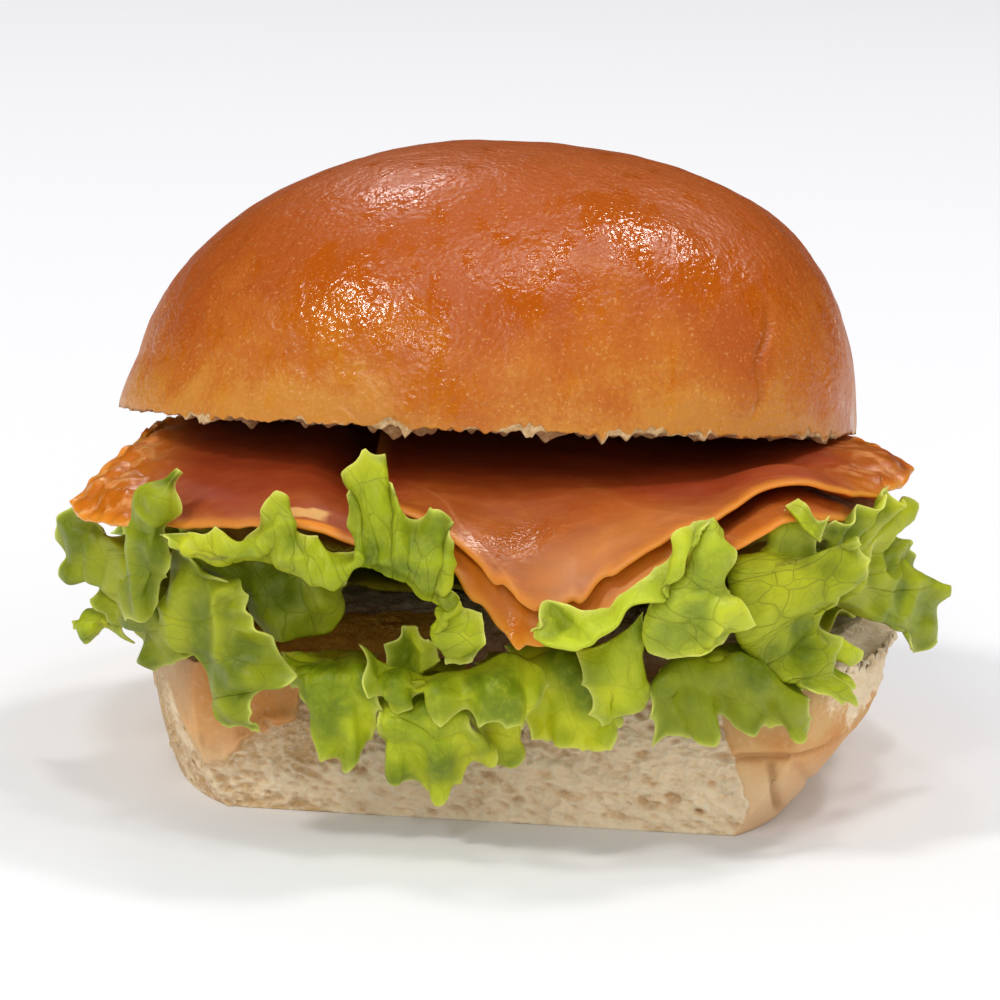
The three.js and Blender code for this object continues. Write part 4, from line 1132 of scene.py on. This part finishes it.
# %% Lines of the leaves
LEAVES = {
    "lettuce_outer_left": (
        (0, 0, 0),
        [(-44, -28, 36.5), (-42, -31, 32), (-40, -34, 28), (-38, -36, 25)],
        [(-52, -33, 35.5), (-49.5, -37, 35), (-48, -40, 33.5), (-46.5, -42, 30.5), (-45, -43, 27.5),
         (-43, -44, 24), (-40.5, -44, 22)],
        [(-55.5, -28, 37), (-55, -31, 34), (-54, -33, 30.5), (-51, -36, 27.5), (-49, -38, 25.5),
         (-46, -40, 23), (-43, -42, 20.5)],
        [(-58.5, -25, 38.5), (-60.5, -24, 34), (-60.5, -25, 29.5), (-57, -27, 28), (-53, -31, 25),
         (-47.5, -36, 20.5), (-45.5, -39, 18.5)],
    ),
    "lettuce_left_tip": (
        (-1, -2, 0),
        [(-57.5, -22.5, 21.5), (-56, -23.5, 23), (-54, -25.5, 23.5), (-51.5, -28, 23.5),
         (-49.5, -30, 23.5)],
        [(-58, -22.5, 20), (-56.5, -23.5, 19.5), (-54, -25.5, 20), (-51.5, -28, 21), (-49, -30, 21.5)],
    ),
    "lettuce_left_spear": (
        (0, 0, 0),
        [(-42.5, -48.5, 48.5), (-45.5, -48, 46), (-48, -47.5, 43.5), (-48, -47, 40), (-49, -46.5, 34),
         (-50, -45.5, 30), (-49, -44.5, 27.5)],
        [(-42, -49.5, 48.5), (-44, -50.5, 46), (-45, -51.5, 43.5), (-45.5, -52, 39.5),
         (-46, -51.5, 35.5), (-47, -49.5, 31), (-47, -47.5, 28)],
        [(-41.5, -49, 48), (-42.5, -49.5, 46), (-42.5, -50, 44), (-43, -50.5, 40), (-43.5, -50, 35),
         (-44, -49, 31.5), (-45.5, -47.5, 29)],
    ),
    "lettuce_front_left": (
        (0, 0, 0),
        [(-42.5, -46, 37.5), (-43.5, -46, 33), (-44, -46, 28.5), (-43.5, -46.5, 25),
         (-39.5, -49, 23.5), (-37.5, -51.5, 20), (-36.5, -52.5, 17.5), (-35.5, -53, 15)],
        [(-40.5, -50, 37), (-38.5, -52.5, 34), (-38, -52, 29.5), (-37, -53, 26), (-34, -56, 24),
         (-33, -57, 21.5), (-33.5, -56, 18.5), (-33, -54.5, 15)],
        [(-38, -52, 35), (-34, -54.5, 35.5), (-32, -56.5, 32.5), (-29.5, -57.5, 29), (-28, -57.5, 26),
         (-26.5, -57.5, 23), (-31.5, -56.5, 19.5), (-30.5, -54.5, 14)],
    ),
    "lettuce_middle_frill": (
        (0, 0, 0),
        [(-39, -48, 38), (-30, -51, 38), (-20, -52, 38), (-12, -53, 37), (-7, -54, 34), (-4, -54, 30)],
        [(-42, -54, 39.5), (-40, -56, 39), (-37, -58, 38.5), (-31.5, -60, 40), (-28.5, -61.5, 41.5),
         (-26.5, -62.5, 39.5), (-23.5, -64, 38), (-20.5, -65, 38.5), (-18.5, -65, 40),
         (-17.5, -64.5, 41), (-16, -64, 41.5), (-15, -63.5, 41.5), (-14.5, -63.5, 41),
         (-13.5, -64, 40.5), (-12.5, -64.5, 40), (-11.5, -65, 39.5), (-10, -65, 38.5),
         (-9, -65, 37.5), (-7.5, -64.5, 37), (-6.5, -64, 36.5), (-6, -63.5, 35), (-6.5, -63, 33),
         (-7.5, -62.5, 31), (-7, -62, 29), (-6.5, -61.5, 27.5)],
        [(-43.5, -52.5, 40), (-41.5, -53, 41.5), (-38, -55, 41), (-33.5, -57, 41),
         (-30.5, -58.5, 45.5), (-28, -59, 48), (-26, -60, 43.5), (-23, -61, 41), (-18.5, -62, 42.5),
         (-19, -61, 47), (-20.5, -60.5, 49), (-20, -60.5, 51.5), (-17.5, -60.5, 53.5),
         (-15, -60.5, 53.5), (-14, -61.5, 49.5), (-12, -62.5, 46.5), (-9.5, -63, 46.5),
         (-7, -63.5, 47.5), (-6, -64, 44), (-8, -62.5, 40.5), (-7.5, -62, 37.5), (-4.5, -62, 35),
         (-1.5, -61.5, 32.5), (-2, -61.5, 28), (-4.5, -61, 26.5)],
    ),
    "lettuce_inner": (
        (0, -2, 0),
        [(-41.5, -45, 35.5), (-38.5, -46, 33.5), (-33, -47, 31), (-29, -48, 26.5), (-24, -47.5, 26.5),
         (-21, -46, 29), (-20, -45, 32.5)],
        [(-41, -47, 37.5), (-38.5, -48, 37.5), (-34.5, -49, 38), (-30, -49.5, 38), (-26, -49.5, 37),
         (-22.5, -48.5, 35.5), (-19.5, -47, 35)],
    ),
    "lettuce_low_left": (
        (0, -3, 0.5),
        [(-23, -34, 21), (-20, -34, 21), (-16, -34, 21)],
        [(-28, -47, 23.5), (-25.5, -48.5, 22.5), (-23, -49.5, 22.5), (-20, -50, 22.5),
         (-18, -50.5, 23.5), (-15, -51.5, 21)],
        [(-26.5, -51, 21.5), (-25, -52, 18), (-23.5, -52, 13.5), (-19, -53, 9.5), (-17, -53.5, 12.5),
         (-15, -52.5, 13)],
    ),
    "lettuce_low_fold": (
        (0, 1, 0),
        [(-14, -53, 23), (-12.5, -53.5, 23), (-10.5, -54, 23), (-9, -54, 23.5), (-7, -54, 25)],
        [(-14.5, -52, 27), (-12, -52, 27.5), (-10.5, -52, 29.5), (-9.5, -53, 28.5), (-7.5, -53.5, 28)],
    ),
    "lettuce_roll": (
        (0, 0, 0),
        [(-17, -53.5, 26.5), (-14, -55, 25), (-10.5, -56, 24.5), (-6.5, -56.5, 24),
         (-1.5, -56.5, 25.5), (2.5, -56, 27), (6, -56.5, 26), (7, -56.5, 24)],
        [(-16.5, -56, 24.5), (-13.5, -58.5, 22), (-10.5, -59.5, 23.5), (-7, -61, 22.5),
         (-2.5, -61.5, 23), (1.5, -61.5, 23.5), (5, -60.5, 22.5), (6.5, -58.5, 22)],
        [(-16.5, -56.5, 22), (-12.5, -57.5, 18.5), (-10.5, -58, 21.5), (-7.5, -60, 19.5),
         (-3.5, -61, 20), (1, -61.5, 19.5), (4.5, -61, 18.5), (5.5, -59.5, 20)],
    ),
    "lettuce_low_front": (
        (0, -2.5, 0),
        [(-13, -35, 21), (-8, -35, 21), (-4, -35, 21)],
        [(-15, -53.5, 18.5), (-13, -54, 19), (-11, -54.5, 19.5), (-8, -55.5, 19.5), (-6, -56, 19.5),
         (-4, -56, 19.5), (-3, -56, 19)],
        [(-14.5, -52, 14.5), (-13, -51, 8.5), (-11, -51.5, 8.5), (-7, -53, 6), (-3.5, -53.5, 9.5),
         (0, -53.5, 11.5), (-1.5, -54, 15)],
    ),
    "lettuce_low_behind": (
        (0, -1.5, 0),
        [(-1, -36, 22), (1, -36, 22), (3, -36, 22)],
        [(-3.5, -50.5, 19), (-1.5, -50.5, 19), (0.5, -50.5, 18.5), (2.5, -50.5, 18.5), (4, -50.5, 18)],
        [(-1.5, -49.5, 13.5), (0.5, -49.5, 10.5), (3, -49.5, 10.5), (4, -49.5, 11.5),
         (4.5, -49.5, 14)],
    ),
    "lettuce_middle": (
        (0, -3, 0),
        [(5, -33, 24), (10, -33, 24), (14, -33, 24)],
        [(2, -46, 25), (4.5, -47, 25), (8, -48, 25.5), (11.5, -49, 25), (15, -50, 24)],
        [(5.5, -52, 14.5), (8, -52, 14.5), (11.5, -53, 13.5), (15, -54, 14), (16, -53, 18.5)],
    ),
    "lettuce_middle_right": (
        (0, -1, 0),
        [(10.5, -57, 28), (13.5, -58, 29), (16.5, -58.5, 31), (19, -58.5, 34)],
        [(14.5, -56, 17.5), (17, -56, 18.5), (19.5, -55.5, 21.5), (20, -55.5, 25)],
    ),
    "lettuce_curl": (
        (0, 0, 0),
        [(5, -62.5, 31), (6.5, -64.5, 30.5), (8.5, -66, 30.5), (11, -67, 30.5), (13.5, -67, 32),
         (15.5, -67, 34), (17.5, -66, 36.5), (21.5, -65, 37), (21, -64.5, 38.5), (23.5, -64, 40),
         (24.5, -63, 43), (25.5, -61.5, 45.5)],
        [(5, -61.5, 31.5), (7, -61, 33), (9, -61.5, 32.5), (11, -62.5, 32.5), (12.5, -64, 33.5),
         (15, -65, 35.5), (17.5, -65, 37.5), (20, -64, 39), (22, -63, 41), (24, -62.5, 43.5),
         (25, -61.5, 45.5), (26.5, -60.5, 46.5)],
        [(4.5, -61.5, 31.5), (5.5, -62, 34), (8, -62, 35.5), (10, -62, 35.5), (12, -63, 35),
         (14, -64, 36), (16.5, -64, 37.5), (19, -63.5, 40), (22, -62, 42.5), (23.5, -61, 45.5),
         (25.5, -60, 47), (27.5, -59, 47)],
    ),
    "lettuce_veined": (
        (0, 0, 0),
        [(30, -48, 38), (28, -49, 36), (26, -50, 33), (24.5, -50, 30)],
        [(27.5, -57.5, 46), (26, -59.5, 43.5), (24.5, -61.5, 40), (21.5, -62.5, 37), (20, -62, 34),
         (20, -60, 29.5)],
        [(28, -57.5, 46), (28, -60, 43), (28, -62, 39), (27.5, -63.5, 36), (26.5, -63, 32.5),
         (23, -61, 29)],
        [(28.5, -57, 45.5), (29.5, -58.5, 42), (30, -59.5, 38.5), (32, -60.5, 35), (31, -60.5, 31.5),
         (27.5, -61, 29.5)],
    ),
    "lettuce_low_right": (
        (0, -3.5, 0),
        [(24, -36, 23), (30, -35, 23.5), (38, -30, 23)],
        [(21, -52, 23), (22, -52.5, 25.5), (24.5, -53.5, 27.5), (28.5, -54, 28.5), (32, -53.5, 28),
         (35, -52.5, 26), (38, -51, 24), (41, -49.5, 22)],
        [(21.5, -54.5, 16), (24, -55.5, 16.5), (29, -56.5, 16), (30, -56, 19), (34, -54, 17.5),
         (37.5, -53, 17.5), (40.5, -52, 16), (42, -50.5, 17.5)],
    ),
    "lettuce_right": (
        (0, -1, 0),
        [(40, -41, 38), (38, -43, 36), (37, -44, 33), (38, -44, 30), (41, -42, 27)],
        [(36.5, -50.5, 45), (35, -51.5, 41), (31, -53.5, 40), (31, -54.5, 36), (32, -55, 33.5),
         (32.5, -55, 31), (33.5, -54.5, 28.5), (36, -54, 26), (40.5, -53, 24)],
        [(38, -50.5, 47), (41.5, -51, 42.5), (43.5, -51, 38.5), (47, -49.5, 43), (47.5, -49.5, 39.5),
         (48.5, -49.5, 37.5), (43.5, -50, 35), (43.5, -49, 30.5), (47.5, -47.5, 19.5)],
    ),
    "lettuce_right_fold": (
        (0, 0, 0),
        [(37, -53, 47.5), (38.5, -54.5, 46), (40, -54.5, 44.5), (42, -53.5, 43)],
        [(38.5, -51.5, 48), (40, -52, 47), (41.5, -52, 45.5), (43, -51.5, 46)],
    ),
    "lettuce_right_edge": (
        (0, 0, 0),
        [(40.5, -48.5, 28.5), (42.5, -48.5, 27), (44, -48, 25), (43.5, -47.5, 22.5)],
        [(45, -44.5, 28.5), (47.5, -43.5, 25.5), (45.5, -44.5, 25.5), (47.5, -44, 21)],
    ),
    "lettuce_far_right": (
        (0, 0, 0),
        [(40, -40, 40), (41, -37, 37), (42, -34, 34), (45, -29, 31), (48, -24, 29)],
        [(43, -47.5, 41.5), (44, -47, 41), (45, -45.5, 40), (45.5, -45, 39), (46, -44.5, 38),
         (46.5, -44, 37), (46.5, -43, 35.5), (46.5, -42, 34.5), (46.5, -41, 33.5), (48.5, -38, 31),
         (52, -34, 28.5), (55.5, -29, 26)],
        [(42.5, -48.5, 44), (47.5, -46, 45), (50.5, -41.5, 47), (53.5, -34, 45), (56, -30, 44),
         (54, -28, 39), (57, -24, 35.5), (60.5, -22, 31), (62.5, -20, 29), (61.5, -20, 25.5),
         (60.5, -21, 23.5), (59, -22, 20.5)],
    ),
}
print(len(LEAVES), "leaves at the mouth")

# %% [markdown]
# A lettuce leaf grows faster at its rim than in its middle, so the rim has too much length for its
# place and stands in ruffles, with small pointed teeth. Between the veins the tissue puffs up into
# blisters. All of this is relief along the normal, and teeth along the leaf, measured in mm. The
# numbers for the finish say where the rim is, how high a blister stands, where a rib runs, and how far
# along and up the leaf a point is.

# %% Leaf surfaces
LEAF_HALF = 0.28
LEAF_STEP = 0.24
USUAL_VEINS = 0.4
TOOTH_SPACING = 4.8
TOOTH_REACH = 1.1
RIB_SPACING = 7.5
BIG_FOLD = 8.6
SMALL_FOLD = 4.1


def leaf_middle(bulge, *lines):
    """The surface through the lines: points are spread evenly along the rim and along the leaf."""
    u = np.linspace(0, 1, 400)
    rim = smooth_line(lines[-1], u) + smooth_line(lines[-2], u)
    travelled = lengths_along(rim[:, None], 0)[:, 0] / 2
    columns = int(np.clip(travelled[-1] / LEAF_STEP, 40, 420))
    u = np.interp(np.linspace(0, travelled[-1], columns), travelled, u)
    through = np.stack([smooth_line(line, u) for line in lines])
    tall = np.linalg.norm(np.diff(through, axis=0), axis=-1).mean(1).sum()
    rows = int(np.clip(tall / LEAF_STEP, 24, 130))
    v = 1 - (1 - np.linspace(0, 1, rows)) ** 1.15
    surface = smooth_line(through, v)
    return surface + (np.sin(np.pi * v)[:, None] * np.array(bulge))[:, None]


def cusps(along, seed):
    """Height of a toothed rim at a distance along it: pointed cusps about 5 mm apart, of random
    height, with hollow arcs between them."""
    line = np.stack([along, 0 * along, 0 * along], -1)
    place = along / TOOTH_SPACING + 0.4 * smooth_noise(line, 9, seed)
    nearest = np.round(place)
    tall = lattice(nearest.astype(np.int64), 3, 5, seed)
    share = np.clip(2 * np.abs(place - nearest), 0, 1)
    hollow = 0.6 * (1 - share) ** 1.6 + 0.4 * (1 - share) ** 6
    return mix(0.3, 1.7, tall**1.5) * hollow - 0.2


def unit(steps):
    """Vectors brought to length 1."""
    return steps / np.maximum(np.linalg.norm(steps, axis=-1, keepdims=True), 1e-9)


def grown_leaf(name, middle, seed, veins=USUAL_VEINS, shade=0.0, root=0.0):
    """The leaf's solid: folds, blisters and cusps put on its middle surface, and a thinner rim."""
    along = lengths_along(middle, 1)
    up = lengths_along(middle, 0)
    to_rim = up[-1:] - up
    to_side = np.minimum(along, along[:, -1:] - along)
    to_edge = np.minimum(to_rim, to_side)
    rim_line = along[-1:] * np.ones_like(up)
    fan = rim_line / RIB_SPACING + 0.4 * smooth_noise(middle, 10, seed + 11)
    ribs = (1 - span(np.abs(np.sin(np.pi * fan)), 0.02, 0.3)) * span(to_rim, 1, 6)
    crumple = 1 - 2 * np.abs(fractal(middle, 6.4, 2, seed + 13))
    puff = smooth_noise(middle, 5.6, seed + 1) + 0.45 * smooth_noise(middle, 2.6, seed + 2)
    big = np.sin(2 * np.pi * (rim_line / BIG_FOLD + 0.55 * smooth_noise(middle, 13, seed + 3)))
    small = np.sin(2 * np.pi * (rim_line / SMALL_FOLD + 0.5 * smooth_noise(middle, 7, seed + 4)))
    shape = (0.3 * puff + 0.75 * crumple) * (0.35 + 0.65 * span(to_edge, 0, 2.5)) - 0.12 * ribs
    shape += 1.25 * big * np.exp(-to_rim / 5) + 0.4 * small * np.exp(-to_rim / 2.2)
    wide_enough = span(up[-1:], 1, 6)
    shape *= wide_enough
    rise = unit(np.gradient(middle, axis=0))
    side = unit(np.gradient(middle, axis=1)) * np.where(along < along[:, -1:] / 2, -1, 1)[..., None]
    at_rim = cusps(rim_line, seed + 6) * np.exp(-to_rim / TOOTH_REACH) * mix(0.5, 1, wide_enough)
    at_side = cusps(up, seed + 7) * np.exp(-to_side / TOOTH_REACH) * span(to_rim, 0, 2) * wide_enough
    grown = middle + surface_normals(middle) * shape[..., None]
    grown += rise * at_rim[..., None] + side * at_side[..., None]
    half = LEAF_HALF * (1 - 0.6 * np.exp(-to_edge / 0.8))
    marks = {
        "rim": np.exp(-to_edge / 0.35),
        "near_rim": np.exp(-to_edge / 4.0),
        "fan": fan,
        "across_mm": 0.9 * rim_line,
        "up_mm": up,
        "puff": puff + 0.6 * crumple + 0.5 * big * np.exp(-to_rim / 5),
        "shade": np.full_like(up, shade),
        "root": np.broadcast_to(root, up.shape),
        "veins": np.full_like(up, veins),
    }
    return make_sheet(name + "_leaf", grown, half, marks)


print("teeth stand up to", cusps(np.arange(0.0, 60, 0.1), 1).max().round(2), "mm out of the rim")

# %% [markdown]
# Lettuce is lit from both sides: light that goes through a leaf comes out yellow-green. The finish
# mixes a deep green painted in the hollows, as painted shade, with a yellow-green painted on the
# blisters and folds, as painted light. Ribs fan out towards the rim,
# and the veins between them are the walls of a Voronoi texture, bent by noise. It reads the leaf's
# own place, across and up in mm, so that the net of veins lies in the leaf however it folds.

# %% Lettuce finish
def lettuce_finish():
    finish = Finish("lettuce_green")
    near_rim = finish.mark("near_rim")
    shade = finish.mark("shade")
    cloud = finish.noise(17, 3.0)
    speckle = finish.noise(1.3, 4.0, 0.6)
    leaf_place = {"X": finish.mark("across_mm"), "Y": finish.mark("up_mm") * 0.7}
    leaf_place = finish.node("CombineXYZ", {}, leaf_place)
    net = 1 - finish.span(finish.walls(leaf_place, 4.4), 0.0, 0.024)
    fine_net = 1 - finish.span(finish.walls(leaf_place, 1.6), 0.0, 0.07)
    fan = (finish.mark("fan") * np.pi).math("SINE").math("ABSOLUTE")
    rib = (1 - finish.span(fan, 0.0, 0.07)) * (1 - near_rim)
    vein = (net * 0.8).math("MAXIMUM", fine_net * 0.3).math("MAXIMUM", rib) * finish.mark("veins")
    lit = finish.blend(
        finish.span(cloud, 0.35, 0.65), colour(0.34, 0.42, 0.005), colour(0.62, 0.65, 0.018)
    )
    green = finish.coats(
        colour(0.12, 0.185, 0.002),
        # Painted shade in the hollows, painted light on the blisters and folds
        (finish.span(finish.mark("puff"), -1.0, 1.0), lit),
        (finish.span(speckle, 0.4, 0.75) * 0.3, colour(0.56, 0.58, 0.03)),
        (vein * 0.6, colour(0.13, 0.12, 0.004)),
        (near_rim * 0.2, colour(0.52, 0.56, 0.02)),
        # Painted shade on the leaves in shade, and painted light where their number is below 0
        (shade, colour(0.11, 0.13, 0.002)),
        (shade * -0.7, colour(0.80, 0.88, 0.10)),
        # Painted shade: the roots of the back leaves, behind the mouth, are painted olive brown
        (finish.mark("root"), colour(0.42, 0.28, 0.02)),
        (finish.mark("rim") * 0.7, colour(0.68, 0.72, 0.16)),
    )
    height = finish.noise(0.6, 3.0, 0.6) * 0.05 - vein * 0.12
    return finish.surface(
        Base_Color=green,
        Roughness=0.38 + 0.16 * speckle,
        Specular_IOR_Level=0.3,
        Subsurface_Weight=0.5,
        Subsurface_Radius=(0.8, 1.0, 0.12),
        Subsurface_Scale=0.002,
        Normal=finish.bump(height),
    )


LETTUCE = lettuce_finish()
print("lettuce nodes:", len(LETTUCE.node_tree.nodes))

# %% [markdown]
# Some leaves show their veins more. Some lie in shade and are painted deeper green, as painted shade,
# and the two with a number below 0 are painted paler than the rest, as painted light.

# %% Leaves at the mouth
VEINED = {
    "lettuce_inner": 0.8,
    "lettuce_veined": 1.0,
    "lettuce_right": 0.8,
    "lettuce_middle_frill": 0.7,
    "lettuce_right_fold": 0.7,
}
SHADED = {
    "lettuce_inner": 0.6,
    "lettuce_veined": -0.25,
    "lettuce_curl": -0.25,
    "lettuce_outer_left": 0.55,
    "lettuce_left_spear": 0.5,
    "lettuce_front_left": 0.5,
    "lettuce_middle_frill": 0.25,
    "lettuce_low_right": 0.5,
    "lettuce_right": 0.35,
    "lettuce_right_fold": 0.25,
    "lettuce_far_right": 0.35,
}
for seed, (name, (bulge, *lines)) in enumerate(LEAVES.items()):
    middle = leaf_middle(bulge, *lines)
    veins = VEINED.get(name, USUAL_VEINS)
    leaf = grown_leaf(name, middle, 300 + 20 * seed, veins, SHADED.get(name, 0.0))
    dress(leaf, name, LETTUCE)

# %% [markdown]
# Three wide leaves run through the sandwich and show as frills round its sides and back. Each one is
# a fan from a line behind the mouth to a wavy rim.

# %% Leaves at the back
# Each leaf: reach, height of its root, height of its rim, dip of the rim, and y of its root.
BACK_LEAVES = {
    "lettuce_back_upper": (56.5, 33, 33, 0, -22),
    "lettuce_back_middle": (57.5, 28.5, 30, 1.5, -8),
    "lettuce_back_lower": (58, 23.5, 25.5, 2.5, -6),
}


def back_leaf(reach, root_height, rim_height, dip, root_y, seed):
    """The fan: mix(root line, rim line, v). Noise of the leaf's own seed moves the rim in and out,
    and noise that all three leaves share lifts it from v = 0.6 on, so that they nest."""
    u = np.linspace(0, 1, 640)[None, :]
    v = np.concatenate([np.linspace(0, 0.6, 12, endpoint=False), np.linspace(0.6, 1, 48)])[:, None]
    angle = np.radians(-32 + 244 * u)
    circle = 50 * np.stack([np.cos(angle), np.sin(angle), 0 * angle], -1)
    wave = 2.6 * smooth_noise(circle, 11, 7) + 1.2 * smooth_noise(circle, 5, 8)
    wave += 0.5 * smooth_noise(circle, 14, seed + 1)
    edge = span(v, 0.6, 1)
    drawn_in = 5 * np.abs(2 * u - 1) ** 6
    in_and_out = 1.7 * smooth_noise(circle, 13, seed)
    radius = reach - 1.2 + in_and_out + smooth_noise(circle, 5, seed + 2) - drawn_in
    x = 1.5 + mix(34 * (1 - 2 * u), radius * np.cos(angle), v)
    y = mix(root_y, 2 + 0.9 * radius * np.sin(angle), v)
    z = mix(root_height, rim_height, v) + wave * edge - dip * edge**2
    return np.stack([x, y, z], -1)


for seed, (name, sizes) in enumerate(BACK_LEAVES.items()):
    fan = back_leaf(*sizes, seed=950 + 10 * seed)
    # Painted shade: where the back leaves lie in the shade behind the mouth, their roots are painted
    # olive brown
    in_the_shade = 0.85 * (1 - span(fan[..., 1], -20, 10)) * (1 - span(np.abs(fan[..., 0]), 34, 44))
    leaf = grown_leaf(name, fan, 900 + 20 * seed, root=in_the_shade)
    dress(leaf, name, LETTUCE)
